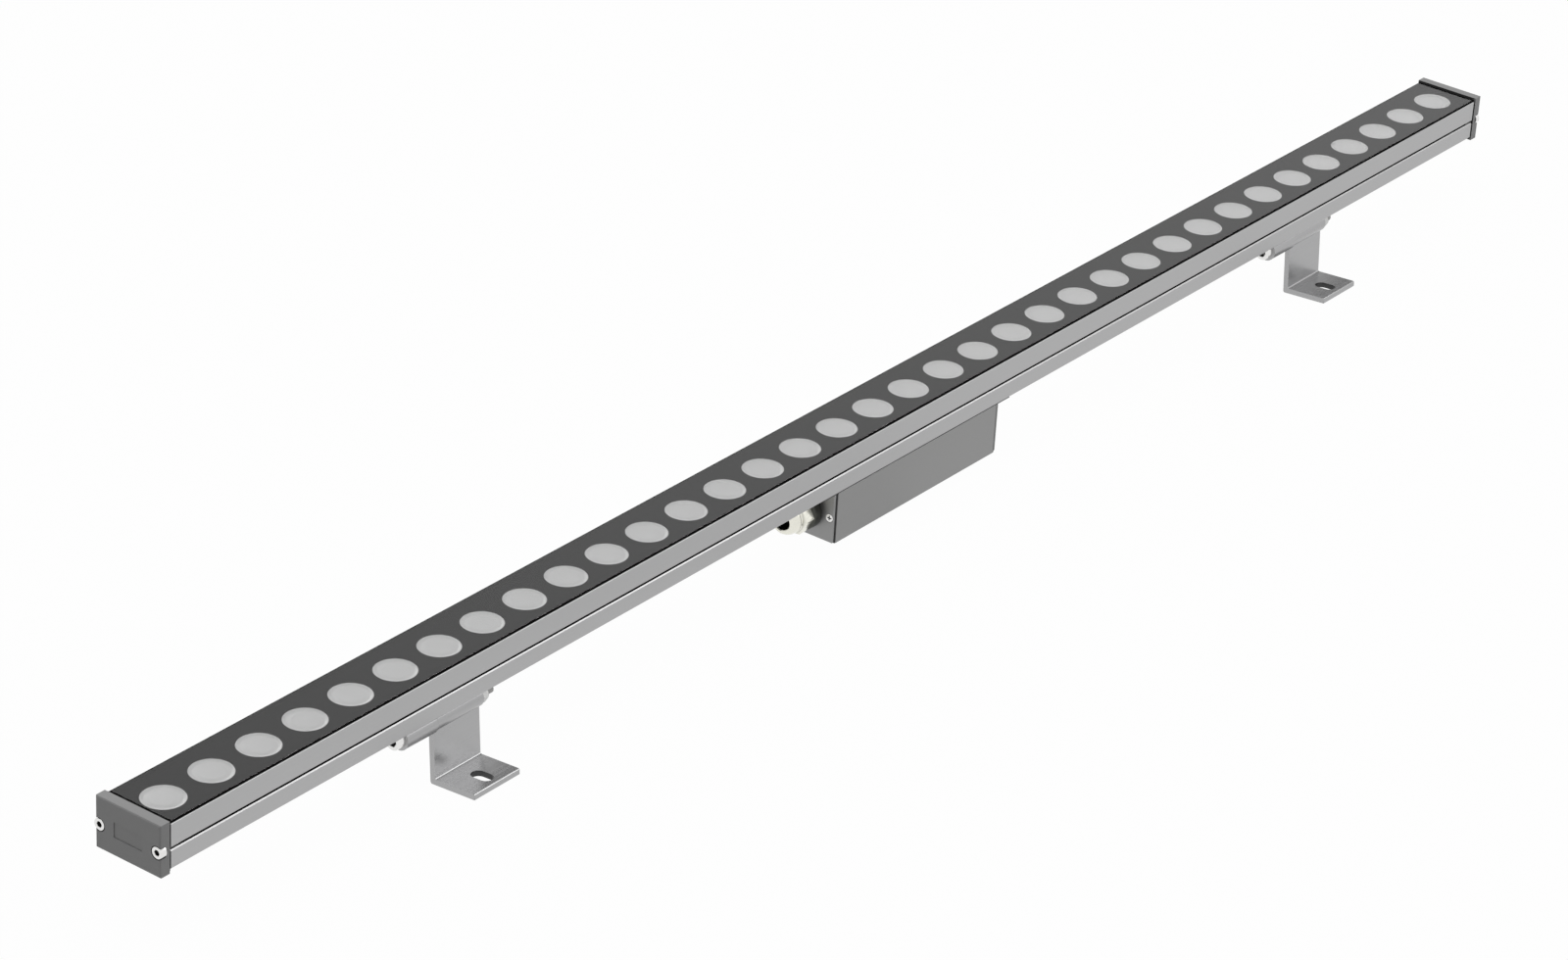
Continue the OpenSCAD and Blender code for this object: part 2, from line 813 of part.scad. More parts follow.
module hinge_leaf(side) {
    x = hinge_start(side);
    color("#8f9193")
        on_lamp()
            difference() {
                union() {
                    on_hinge_axis()
                        bar_x(x, leaf_l, leaf_r);
                    translate([x, -hinge_y, leaf_z])
                        cube([leaf_l, hinge_y + leaf_reach, leaf_t]);
                }
                on_hinge_axis()
                    bar_x(x - cut, leaf_l + 2 * cut, bolt_r + bolt_clear);
                translate([x + leaf_l / 2, 0, leaf_z - cut])
                    cylinder(h = leaf_t + 2 * cut, r = clamp_r + thread_clear);
            }
}

module hinge_leaf_left() {
    hinge_leaf(-1);
}

module hinge_leaf_right() {
    hinge_leaf(1);
}

// A button-headed screw pointing up, with its head's bearing face at z = 0
module button_screw(r, l, head_r, head_h) {
    cylinder(h = l, r = r);
    difference() {
        rotate_extrude()
            polygon([[0, 0], [head_r, 0], [head_r, -head_h * 0.3], [head_r * 0.6, -head_h], [0, -head_h]]);
        translate([0, 0, -head_h - cut])
            cylinder(h = head_h * 0.5 + cut, r = r * 0.65, $fn = 6);
    }
}

module leaf_screws() {
    color("#c9cacb")
        on_lamp()
            for (side = [-1, 1])
                translate([hinge_start(side) + leaf_l / 2, 0, leaf_z])
                    button_screw(clamp_r, clamp_l, clamp_head_r, clamp_head_h);
}

module track_nut(r) {
    nut_w = track_w - 2 * track_nut_clear;
    difference() {
        translate([-track_nut_l / 2, -nut_w / 2, track_z])
            cube([track_nut_l, nut_w, track_nut_t]);
        translate([0, 0, track_z - cut])
            cylinder(h = track_nut_t + 2 * cut, r = r + thread_clear);
    }
}

module leaf_nuts() {
    color("#b9babb")
        on_lamp()
            for (side = [-1, 1])
                translate([hinge_start(side) + leaf_l / 2, 0, 0])
                    track_nut(clamp_r);
}

module tab_nuts() {
    color("#b9babb")
        on_lamp()
            tab_screw_places()
                track_nut(tab_screw_r);
}

module hinge_bolts() {
    color("#d6d7d8")
        on_lamp()
            on_hinge_axis()
                for (side = [-1, 1])
                    translate([hinge_start(side), 0, 0])
                        difference() {
                            union() {
                                bar_x(-bolt_head_h, bolt_head_h, bolt_head_r);
                                bar_x(-bolt_head_h / 2, bolt_l + bolt_head_h / 2, bolt_r);
                            }
                            hex_x(-bolt_head_h - cut, bolt_head_h / 2 + cut, bolt_hex);
                        }
}

module hinge_washers() {
    color("#c9cacb")
        on_lamp()
            on_hinge_axis()
                for (side = [-1, 1])
                    translate([hinge_start(side) + leaf_l, 0, 0])
                        difference() {
                            bar_x(0, washer_t, washer_r);
                            bar_x(-cut, washer_t + 2 * cut, bolt_r + bolt_clear);
                        }
}

module hinge_nuts() {
    color("#c9cacb")
        on_lamp()
            on_hinge_axis()
                for (side = [-1, 1])
                    translate([hinge_start(side) + knuckles_l + foot_float, 0, 0])
                        difference() {
                            hex_x(0, nut_h, nut_hex);
                            bar_x(-cut, nut_h + 2 * cut, bolt_r + thread_clear);
                        }
}

// Profile of a foot in Y and Z: knuckle, upright plate and toe, with its own fillet and rounding
module foot_profile() {
    back = foot_t - foot_front;
    difference() {
        union() {
            translate([0, hinge_h])
                circle(r = foot_knuckle_r);
            translate([-foot_front, 0])
                square([foot_t, hinge_h]);
            translate([-foot_front - toe_reach, 0])
                square([toe_reach + foot_t / 2, foot_t]);
            translate([-foot_front - foot_fillet, foot_t])
                difference() {
                    square(foot_fillet);
                    translate([0, foot_fillet])
                        circle(r = foot_fillet);
                }
        }
        translate([0, hinge_h])
            circle(r = bolt_r + bolt_clear);
        translate([back - foot_round, foot_round])
            mirror([0, 1])
                corner_cut(foot_round);
        translate([-foot_front - toe_reach, foot_t - toe_bevel])
            polygon([[-cut, 0], [0, 0], [toe_bevel, toe_bevel], [toe_bevel, toe_bevel + cut], [-cut, toe_bevel + cut]]);
    }
}

module foot(side) {
    x = hinge_start(side) + leaf_l + washer_t + foot_float;
    half = (slot_l - slot_w) / 2;
    color("#96989b")
        difference() {
            along_x(x, foot_w)
                foot_profile();
            translate([x + foot_w / 2, -foot_front - slot_y, -cut]) {
                for (end = [-half, half])
                    translate([0, end, 0])
                        cylinder(h = foot_t + 2 * cut, r = slot_w / 2);
                translate([-slot_w / 2, -half, 0])
                    cube([slot_w, 2 * half, foot_t + 2 * cut]);
            }
        }
}

module foot_left() {
    foot(-1);
}

module foot_right() {
    foot(1);
}

// Places of the two screws that hold the mounting plate in the nut track
module tab_screw_places() {
    for (side = [-1, 1])
        translate([box_x + side * tab_x, 0, 0])
            children();
}

// Places of the four screws that join mounting plate and box
module join_places() {
    for (side = [-1, 1], across = [-1, 1])
        translate([box_x + side * (shell_l / 2 - join_inset), across * join_y, 0])
            children();
}

module mounting_plate() {
    l = box_l + 2 * mount_tab;
    color("#58595b")
        on_lamp()
            difference() {
                translate([box_x - l / 2, -mount_w / 2, mount_z])
                    cube([l, mount_w, mount_t]);
                tab_screw_places()
                    translate([0, 0, mount_z - cut])
                        cylinder(h = mount_t + 2 * cut, r = tab_screw_r + thread_clear);
                join_places()
                    translate([0, 0, mount_z - cut])
                        cylinder(h = mount_t + 2 * cut, r = join_screw_r + thread_clear);
                translate([grommet_x, 0, mount_z - cut])
                    cylinder(h = mount_t + 2 * cut, r = grommet_r + thread_clear);
            }
}

module tab_screws() {
    color("#c9cacb")
        on_lamp()
            tab_screw_places()
                translate([0, 0, mount_z])
                    button_screw(tab_screw_r, mount_t + rail_t + track_nut_t, tab_head_r, tab_head_h);
}

module joining_screws() {
    color("#c9cacb")
        on_lamp()
            join_places()
                translate([0, 0, mount_z + mount_t])
                    screw_down(join_screw_r, join_screw_l, join_head_r, join_head_h);
}

// Profile of the box's extruded shell: a tube with a screw port on each side wall
module shell_profile() {
    difference() {
        translate([-box_w / 2, box_bottom_z])
            square([box_w, box_h]);
        difference() {
            translate([-box_w / 2 + box_t, box_bottom_z + box_t])
                square([box_w - 2 * box_t, box_h - 2 * box_t]);
            both_sides()
                translate([box_screw_y, box_mid_z])
                    circle(r = box_screw_r + box_port_wall);
        }
        both_sides()
            translate([box_screw_y, box_mid_z])
                circle(r = box_screw_r + thread_clear);
    }
}

// Feet of the driver board inside the shell
module post_places() {
    for (side = [-1, 1], across = [-1, 1])
        translate([
            box_x + side * (driver_board_l / 2 - post_inset),
            across * (driver_board_w / 2 - post_inset),
            0
        ])
            children();
}

module driver_shell() {
    color("#85878a")
        on_lamp()
            difference() {
                union() {
                    along_x(box_x - shell_l / 2, shell_l)
                        shell_profile();
                    post_places()
                        translate([0, 0, box_bottom_z + box_t / 2])
                            cylinder(h = box_t / 2 + post_h, r = post_r);
                }
                post_places()
                    translate([0, 0, board_top_z - board_t - post_screw_l])
                        cylinder(h = post_screw_l + cut, r = post_screw_r + thread_clear);
                join_places()
                    translate([0, 0, mount_z - box_t - cut])
                        cylinder(h = box_t + 2 * cut, r = join_screw_r + thread_clear);
                translate([grommet_x, 0, mount_z - box_t - cut])
                    cylinder(h = box_t + 2 * cut, r = grommet_r + thread_clear);
            }
}

// Centres of an end plate's two screws
module box_screw_places() {
    for (across = [-1, 1])
        translate([0, across * box_screw_y, box_mid_z])
            children();
}

// The cone of a countersunk head, with its face up at z = 0
module sunk_head(r, head_r, head_h) {
    translate([0, 0, -head_h])
        cylinder(h = head_h, r1 = r, r2 = head_r);
}

// A countersunk screw pointing down, with its head's face at z = 0
module sunk_screw_down(r, l, head_r, head_h) {
    translate([0, 0, -l])
        cylinder(h = l - head_h / 2, r = r);
    sunk_head(r, head_r, head_h);
}

// Puts a left-end part of the box at the box's left or right end
module at_box_end(side) {
    translate([box_x, 0, 0])
        mirror([side > 0 ? 1 : 0, 0, 0])
            translate([-box_l / 2, 0, 0])
                children();
}

module driver_plate(side) {
    plate_w = box_w - 2 * end_plate_inset;
    color("#7d7f82")
        on_lamp()
            difference() {
                at_box_end(side)
                    difference() {
                        translate([0, -plate_w / 2, box_bottom_z + end_plate_inset])
                            cube([end_plate_t, plate_w, box_h - 2 * end_plate_inset]);
                        box_screw_places() {
                            bar_x(-cut, end_plate_t + 2 * cut, box_screw_r + thread_clear);
                            bar_x(-cut, cut, box_head_r);
                            rotate([0, -90, 0])
                                sunk_head(box_screw_r, box_head_r, box_head_h);
                        }
                    }
                if (side < 0)
                    translate([0, 0, box_mid_z])
                        bar_x(gland_x - cut, end_plate_t + 2 * cut, gland_r + thread_clear);
            }
}

module driver_plate_left() {
    driver_plate(-1);
}

module driver_plate_right() {
    driver_plate(1);
}

module driver_gaskets() {
    inner_w = 2 * (box_screw_y - box_screw_r - box_port_wall);
    color("#1d1e1f")
        on_lamp()
            for (side = [-1, 1])
                at_box_end(side)
                    difference() {
                        translate([end_plate_t, -box_w / 2 + 0.15, box_bottom_z + 0.15])
                            cube([box_gasket_t, box_w - 0.3, box_h - 0.3]);
                        translate([end_plate_t - cut, -inner_w / 2, box_bottom_z + box_t])
                            cube([box_gasket_t + 2 * cut, inner_w, box_h - 2 * box_t]);
                        box_screw_places()
                            bar_x(end_plate_t - cut, box_gasket_t + 2 * cut, box_screw_r + thread_clear);
                    }
}

module driver_screws() {
    color("#d6d7d8")
        on_lamp()
            for (side = [-1, 1])
                at_box_end(side)
                    box_screw_places()
                        rotate([0, -90, 0])
                            sunk_screw_down(box_screw_r, box_screw_l, box_head_r, box_head_h);
}

module driver_board() {
    color("#2f6b3c")
        on_lamp()
            difference() {
                translate([box_x - driver_board_l / 2, -driver_board_w / 2, board_top_z - board_t])
                    cube([driver_board_l, driver_board_w, board_t]);
                post_places()
                    translate([0, 0, board_top_z - board_t - cut])
                        cylinder(h = board_t + 2 * cut, r = post_screw_r + thread_clear);
            }
}

module driver_board_screws() {
    color("#c9cacb")
        on_lamp()
            post_places()
                translate([0, 0, board_top_z])
                    screw_down(post_screw_r, post_screw_l, post_screw_r * 1.8, post_screw_r * 1.2);
}

// Transformer, capacitors, coil and terminal block that stand on the driver board
module driver_parts() {
    end = driver_board_l / 2;
    side = driver_board_w / 2;
    color("#4a4c50")
        on_lamp()
            translate([box_x, 0, board_top_z]) {
                translate([-transformer_l / 2 + 1, -transformer_w / 2, 0])
                    cube([transformer_l, transformer_w, transformer_h]);
                for (i = [0, 1])
                    translate([-end + capacitor_inset + i * capacitor_pitch, side - 2 * capacitor_r + 0.4, 0])
                        cylinder(h = capacitor_h, r = capacitor_r);
                translate([-end + capacitor_inset + capacitor_pitch / 2, -side + coil_r + coil_inset, 0])
                    cylinder(h = coil_h, r = coil_r);
                translate([end - terminal_inset - terminal_l, -side + 4, 0])
                    cube([terminal_l, terminal_w, terminal_h]);
            }
}

module gland_body() {
    l = gland_nut_l + gland_flange_t + gland_through;
    color("#4e5048")
        on_lamp()
            translate([0, 0, box_mid_z])
                difference() {
                    union() {
                        bar_x(gland_x - gland_flange_t, gland_flange_t, gland_flange_r);
                        bar_x(gland_x - gland_flange_t, gland_flange_t + gland_through, gland_r);
                        bar_x(gland_nut_x, gland_nut_l + cut, gland_neck_r);
                    }
                    bar_x(gland_nut_x - cut, l + 2 * cut, gland_seal_r);
                }
}

module gland_seal() {
    l = gland_nut_l + gland_flange_t;
    color("#1b1b1b")
        on_lamp()
            translate([0, 0, box_mid_z])
                difference() {
                    bar_x(gland_nut_x, l, gland_seal_r);
                    bar_x(gland_nut_x - cut, l + 2 * cut, cable_r);
                }
}

module gland_cap_nut() {
    color("#d3d0be")
        on_lamp()
            translate([0, 0, box_mid_z])
                difference() {
                    union() {
                        hex_x(gland_nut_x, gland_nut_l, gland_nut_hex);
                        translate([gland_nut_x, 0, 0])
                            rotate([0, -90, 0])
                                rotate_extrude()
                                    polygon([
                                        [0, -gland_nut_l / 2],
                                        [gland_dome_r, -gland_nut_l / 2],
                                        [gland_dome_r, gland_dome_l * 0.25],
                                        [gland_dome_r - 0.4, gland_dome_l * 0.6],
                                        [gland_end_r + 0.5, gland_dome_l * 0.9],
                                        [gland_end_r, gland_dome_l],
                                        [0, gland_dome_l]
                                    ]);
                    }
                    bar_x(gland_nut_x, gland_nut_l + cut, gland_neck_r + thread_clear);
                    bar_x(gland_nut_x - gland_dome_l - cut, gland_dome_l + 2 * cut, gland_mouth_r);
                }
}

module gland_lock_nut() {
    inner_x = gland_x + end_plate_t + box_gasket_t;
    color("#c9c6b4")
        on_lamp()
            translate([0, 0, box_mid_z])
                difference() {
                    hex_x(inner_x, locknut_t, locknut_hex);
                    bar_x(inner_x - cut, locknut_t + 2 * cut, gland_r + thread_clear);
                }
}

// Rubber grommet that lines the lead hole from the box up into the housing
module wire_grommet() {
    bottom_z = mount_z - box_t;
    neck_h = web_z - bottom_z;
    color("#1b1b1b")
        on_lamp()
            translate([grommet_x, 0, bottom_z])
                difference() {
                    union() {
                        cylinder(h = neck_h, r = grommet_r);
                        translate([0, 0, -grommet_lip_t])
                            cylinder(h = grommet_lip_t, r = grommet_r + grommet_lip);
                    }
                    translate([0, 0, -grommet_lip_t - cut])
                        cylinder(h = neck_h + grommet_lip_t + 2 * cut, r = grommet_bore_r);
                }
}

// The two supply leads, straight from the driver board up to the LED board
module supply_leads() {
    color("#a03028")
        on_lamp()
            for (side = [-1, 1])
                translate([grommet_x + side * (lead_r + 0.2), 0, board_top_z])
                    cylinder(h = web_z - board_top_z, r = lead_r);
}

housing();
face_glass();
glass_seal();
mask_plate();
lenses();
led_board();
led_chips();
board_screws();
end_cap_left();
end_cap_right();
end_gasket_left();
end_gasket_right();
end_cap_screws();
hinge_leaf_left();
hinge_leaf_right();
leaf_screws();
leaf_nuts();
hinge_bolts();
hinge_washers();
hinge_nuts();
foot_left();
foot_right();
mounting_plate();
tab_screws();
tab_nuts();
joining_screws();
driver_shell();
driver_plate_left();
driver_plate_right();
driver_gaskets();
driver_screws();
driver_board();
driver_board_screws();
driver_parts();
gland_body();
gland_seal();
gland_cap_nut();
gland_lock_nut();
wire_grommet();
supply_leads();
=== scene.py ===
# %% [markdown]
# # A linear wall washer lamp
# The lamp is a slim aluminium extrusion, one metre long, with a strip of glass over 36 round lenses. It
# leans on two hinge feet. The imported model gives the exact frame; this script adds what a camera sees on
# top of it: softened edges, moulded lenses, cut threads, and finishes that answer to light.

# %% Load the frame
import bmesh
import bpy
import math
import numpy as np
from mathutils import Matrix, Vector


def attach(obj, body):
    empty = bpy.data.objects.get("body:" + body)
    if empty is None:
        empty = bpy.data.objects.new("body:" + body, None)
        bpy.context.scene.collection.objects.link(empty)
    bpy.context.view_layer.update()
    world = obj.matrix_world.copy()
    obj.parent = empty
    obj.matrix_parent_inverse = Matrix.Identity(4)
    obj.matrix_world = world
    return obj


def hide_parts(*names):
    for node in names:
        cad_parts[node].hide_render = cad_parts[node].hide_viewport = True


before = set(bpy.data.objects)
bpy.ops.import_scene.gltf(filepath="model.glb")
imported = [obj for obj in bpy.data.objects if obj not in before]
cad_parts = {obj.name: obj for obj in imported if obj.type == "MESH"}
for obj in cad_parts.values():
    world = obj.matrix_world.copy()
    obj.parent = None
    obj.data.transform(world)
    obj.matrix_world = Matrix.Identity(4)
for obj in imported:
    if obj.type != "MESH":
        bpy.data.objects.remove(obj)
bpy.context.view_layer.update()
MM = 0.001

# %% [markdown]
# ## The lamp's own axes
# The lamp leans by a few degrees about its hinges, so it is easier to work out its pieces level and to lean
# them afterwards. In the lamp's own axes the glass's top lies at z = 0, and y = 0 runs along the middle of
# the glass.

# %% Lean a level point with the lamp
LEAN = math.radians(3.9)
HINGE_HEIGHT = 29.9
HINGE_Y, HINGE_DROP = 11.1, 25.9


def lean(points):
    """World places, in metres, of points given in mm in the lamp's own axes: shifted to the hinge axis,
    turned about it by the lean, and lifted to the hinge's height."""
    p = np.asarray(points, float)
    y, z = p[..., 1] + HINGE_Y, p[..., 2] + HINGE_DROP
    c, s = math.cos(LEAN), math.sin(LEAN)
    return np.stack([p[..., 0], y * c - z * s, y * s + z * c + HINGE_HEIGHT], axis=-1) * MM


def level(places):
    """The inverse of lean: mm in the lamp's own axes from world places in metres."""
    p = np.asarray(places, float) / MM
    y, z = p[..., 1], p[..., 2] - HINGE_HEIGHT
    c, s = math.cos(LEAN), math.sin(LEAN)
    return np.stack([p[..., 0], y * c + z * s - HINGE_Y, z * c - y * s - HINGE_DROP], axis=-1)


print("middle of the glass:", lean([0, 0, 0]))

# %% [markdown]
# ## From a grid of points to a piece
# Most pieces here are a surface over two parameters: a profile turned about an axis, or a section carried
# along a path. One helper turns such a grid into faces, and one joins several of them into a mesh, so that
# a row of equal screws stays one piece. Blender's own tools could turn and extrude a profile too, but a
# grid of numbers shows the formula and gives the same mesh each time.

# %% Grids, meshes and pieces


def grid_faces(rows, columns):
    """Quads over a grid whose point (i, j) is number i * columns + j. The last column joins the first."""
    here = np.arange(rows - 1)[:, None] * columns
    j = np.arange(columns)[None, :]
    k = (j + 1) % columns
    return np.stack([here + j, here + k, here + columns + k, here + columns + j], axis=-1).reshape(-1, 4)


def joined(parts):
    """One surface from several (points, faces, shade): face numbers move past the points before them."""
    points, faces, shade, start = [], [], [], 0
    for part_points, part_faces, part_shade in parts:
        points.append(part_points.reshape(-1, 3))
        faces.append(part_faces + start)
        shade.append(np.broadcast_to(part_shade, part_points.shape[:-1]).ravel())
        start += len(points[-1])
    return np.concatenate(points), np.concatenate(faces), np.concatenate(shade)


def set_shade(mesh, shade, domain="POINT"):
    """How deep each point or face lies in a recess, from 0 to 1: the finishes paint shade by it."""
    layer = mesh.attributes.new("shade", "FLOAT", domain)
    layer.data.foreach_set("value", np.asarray(shade, np.float32))


def face_middles(mesh):
    """The middle of every face, in mm in the lamp's own axes."""
    middles = np.zeros(3 * len(mesh.polygons))
    mesh.polygons.foreach_get("center", middles)
    return level(middles.reshape(-1, 3))


def make_piece(name, surface, body, material, replaces, crease=35):
    """A leaning piece from a surface in mm in the lamp's own axes. Edges over crease degrees stay sharp."""
    points, faces, shade = joined([surface])
    mesh = bpy.data.meshes.new(name)
    mesh.from_pydata(lean(points).tolist(), [], faces.tolist())
    set_shade(mesh, shade)
    piece = bpy.data.objects.new(name, mesh)
    bpy.context.scene.collection.objects.link(piece)
    finish_mesh(mesh, crease)
    mesh.materials.append(material)
    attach(piece, body)
    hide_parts(*replaces)
    print(name, "faces:", len(mesh.polygons))
    return piece


def finish_mesh(mesh, crease):
    """Welds points that lie on one another, drops faces without area, turns all faces outwards and shades
    them smooth up to the crease."""
    bm = bmesh.new()
    bm.from_mesh(mesh)
    bmesh.ops.remove_doubles(bm, verts=bm.verts, dist=1e-7)
    bmesh.ops.dissolve_degenerate(bm, edges=bm.edges, dist=1e-8)
    bmesh.ops.recalc_face_normals(bm, faces=bm.faces)
    bm.to_mesh(mesh)
    bm.free()
    mesh.polygons.foreach_set("use_smooth", np.ones(len(mesh.polygons), bool))
    mesh.set_sharp_from_angle(angle=math.radians(crease))


# %% [markdown]
# ## Finishes
# Anodised aluminium is never one flat grey: the extrusion leaves faint lines along its length, and the acid
# etch leaves a fine grain. Paint has an orange-peel ripple, and rubber a dull bloom. Each effect is a node
# group, so that several materials share it with their own numbers.

# %% Node group helpers


def new_group(name, inputs, outputs):
    """A shader node group with the given sockets: inputs (name, kind, default) and outputs (name, kind)."""
    tree = bpy.data.node_groups.new(name, "ShaderNodeTree")
    for title, kind, default in inputs:
        socket = tree.interface.new_socket(title, in_out="INPUT", socket_type=kind)
        if default is not None:
            socket.default_value = default
    for title, kind in outputs:
        tree.interface.new_socket(title, in_out="OUTPUT", socket_type=kind)
    return tree, tree.nodes.new("NodeGroupInput"), tree.nodes.new("NodeGroupOutput")


def math_node(tree, operation, a, b):
    """A Math node fed by sockets or plain numbers."""
    node = tree.nodes.new("ShaderNodeMath")
    node.operation = operation
    for i, value in enumerate((a, b)):
        if isinstance(value, (int, float)):
            node.inputs[i].default_value = value
        else:
            tree.links.new(value, node.inputs[i])
    return node.outputs[0]


def noise_node(tree, vector, scale, detail=3.0):
    """A Noise texture's value over a vector."""
    node = tree.nodes.new("ShaderNodeTexNoise")
    node.inputs["Detail"].default_value = detail
    tree.links.new(vector, node.inputs["Vector"])
    if isinstance(scale, (int, float)):
        node.inputs["Scale"].default_value = scale
    else:
        tree.links.new(scale, node.inputs["Scale"])
    return node.outputs["Fac"]


def colour_node(tree, colour):
    """A plain colour as a socket."""
    node = tree.nodes.new("ShaderNodeRGB")
    node.outputs[0].default_value = (*colour, 1)
    return node.outputs[0]


def scaled(tree, colour, factor):
    """A colour times a factor."""
    scale = tree.nodes.new("ShaderNodeVectorMath")
    scale.operation = "SCALE"
    tree.links.new(colour, scale.inputs[0])
    tree.links.new(factor, scale.inputs["Scale"])
    return scale.outputs["Vector"]


def varied(tree, colour, value, amount):
    """A colour made lighter and darker by a value around one half, by a share called amount."""
    shift = math_node(tree, "MULTIPLY", math_node(tree, "SUBTRACT", value, 0.5), amount)
    factor = math_node(tree, "ADD", shift, 1.0)
    return scaled(tree, colour, factor)


def with_painted_shade(tree, colour, shade):
    """A colour scaled down to a tenth where shade is 1: painted shade for the light a recess loses."""
    return scaled(tree, colour, math_node(tree, "SUBTRACT", 1.0, math_node(tree, "MULTIPLY", shade, 0.9)))


# %% Metal grain: lines along the piece, and an etched grain
STREAK_SCALE = (6, 900, 900)


def build_metal_grain():
    """Lines are noise over a vector squeezed along X, so that its spots become streaks along the lamp.
    Grain is a fine even noise. Both vary colour, roughness and height."""
    tree, start, end = new_group(
        "metal_grain",
        [("Vector", "NodeSocketVector", None), ("Colour", "NodeSocketColor", (0.5, 0.5, 0.5, 1)),
         ("Lines", "NodeSocketFloat", 0.1), ("Grain", "NodeSocketFloat", 0.05),
         ("Roughness", "NodeSocketFloat", 0.35), ("Shade", "NodeSocketFloat", 0.0)],
        [("Colour", "NodeSocketColor"), ("Roughness", "NodeSocketFloat"), ("Height", "NodeSocketFloat")])
    squeeze = tree.nodes.new("ShaderNodeMapping")
    squeeze.inputs["Scale"].default_value = STREAK_SCALE
    tree.links.new(start.outputs["Vector"], squeeze.inputs["Vector"])
    lines = noise_node(tree, squeeze.outputs["Vector"], scale=1.0, detail=4.0)
    grain = noise_node(tree, start.outputs["Vector"], scale=2600.0, detail=2.0)
    lined = varied(tree, start.outputs["Colour"], lines, start.outputs["Lines"])
    grained = varied(tree, lined, grain, start.outputs["Grain"])
    # Painted shade: the colour is darkened where the Shade input is high.
    tree.links.new(with_painted_shade(tree, grained, start.outputs["Shade"]), end.inputs["Colour"])
    spread = math_node(tree, "MULTIPLY", math_node(tree, "SUBTRACT", lines, 0.5), 0.18)
    tree.links.new(math_node(tree, "ADD", start.outputs["Roughness"], spread), end.inputs["Roughness"])
    line_height = math_node(tree, "MULTIPLY", lines, 0.6)
    grain_height = math_node(tree, "MULTIPLY", grain, 0.4)
    tree.links.new(math_node(tree, "ADD", line_height, grain_height), end.inputs["Height"])
    return tree


METAL_GRAIN = build_metal_grain()

# %% Fine ripple: orange peel in paint, and the dull bloom of rubber and plastic


def build_fine_ripple():
    """A cloudy noise some millimetres wide varies the colour, and a fine one gives the ripple's height."""
    tree, start, end = new_group(
        "fine_ripple",
        [("Vector", "NodeSocketVector", None), ("Colour", "NodeSocketColor", (0.5, 0.5, 0.5, 1)),
         ("Clouds", "NodeSocketFloat", 0.1), ("Scale", "NodeSocketFloat", 1400.0),
         ("Roughness", "NodeSocketFloat", 0.5), ("Shade", "NodeSocketFloat", 0.0)],
        [("Colour", "NodeSocketColor"), ("Roughness", "NodeSocketFloat"), ("Height", "NodeSocketFloat")])
    clouds = noise_node(tree, start.outputs["Vector"], scale=160.0, detail=4.0)
    ripple = noise_node(tree, start.outputs["Vector"], scale=start.outputs["Scale"], detail=2.0)
    clouded = varied(tree, start.outputs["Colour"], clouds, start.outputs["Clouds"])
    # Painted shade: the colour is darkened where the Shade input is high.
    tree.links.new(with_painted_shade(tree, clouded, start.outputs["Shade"]), end.inputs["Colour"])
    spread = math_node(tree, "MULTIPLY", math_node(tree, "SUBTRACT", clouds, 0.5), 0.2)
    tree.links.new(math_node(tree, "ADD", start.outputs["Roughness"], spread), end.inputs["Roughness"])
    tree.links.new(ripple, end.inputs["Height"])
    return tree


FINE_RIPPLE = build_fine_ripple()

# %% A finish: one material around one of the groups
RELIEF_T = 0.1 * MM


def finish_of(name, group, colour, roughness, bump, metallic=0.0, **settings):
    """A Principled material whose colour, roughness and normal come from a shared group. Capitalised
    settings are the group's own inputs, and the others are named sockets of the shader."""
    material = bpy.data.materials.new(name)
    material.use_nodes = True
    tree = material.node_tree
    shader = tree.nodes["Principled BSDF"]
    shader.inputs["Metallic"].default_value = metallic
    place = tree.nodes.new("ShaderNodeTexCoord")
    effect = tree.nodes.new("ShaderNodeGroup")
    effect.node_tree = group
    tree.links.new(place.outputs["Object"], effect.inputs["Vector"])
    # The shade attribute feeds the groups' painted shade.
    recess = tree.nodes.new("ShaderNodeAttribute")
    recess.attribute_name = "shade"
    tree.links.new(recess.outputs["Fac"], effect.inputs["Shade"])
    effect.inputs["Colour"].default_value = (*colour, 1)
    effect.inputs["Roughness"].default_value = roughness
    for title, value in settings.items():
        target = effect if title in effect.inputs else shader
        target.inputs[title.replace("_", " ")].default_value = value
    tree.links.new(effect.outputs["Colour"], shader.inputs["Base Color"])
    tree.links.new(effect.outputs["Roughness"], shader.inputs["Roughness"])
    relief = tree.nodes.new("ShaderNodeBump")
    relief.inputs["Strength"].default_value = bump
    relief.inputs["Distance"].default_value = RELIEF_T
    tree.links.new(effect.outputs["Height"], relief.inputs["Height"])
    tree.links.new(relief.outputs["Normal"], shader.inputs["Normal"])
    return material


# %% [markdown]
# ### Metals
# The housing is satin silver, its hinges and feet are a little darker, and the driver box is darker still.
# The end caps are painted a dull grey. Screws are plain bright steel, the hinges' nuts and washers dull
# zinc, and the cable gland's cap is nickel plated, which looks a little warm. One flat colour for each
# would look like plastic close up, so each goes through one of the two groups.

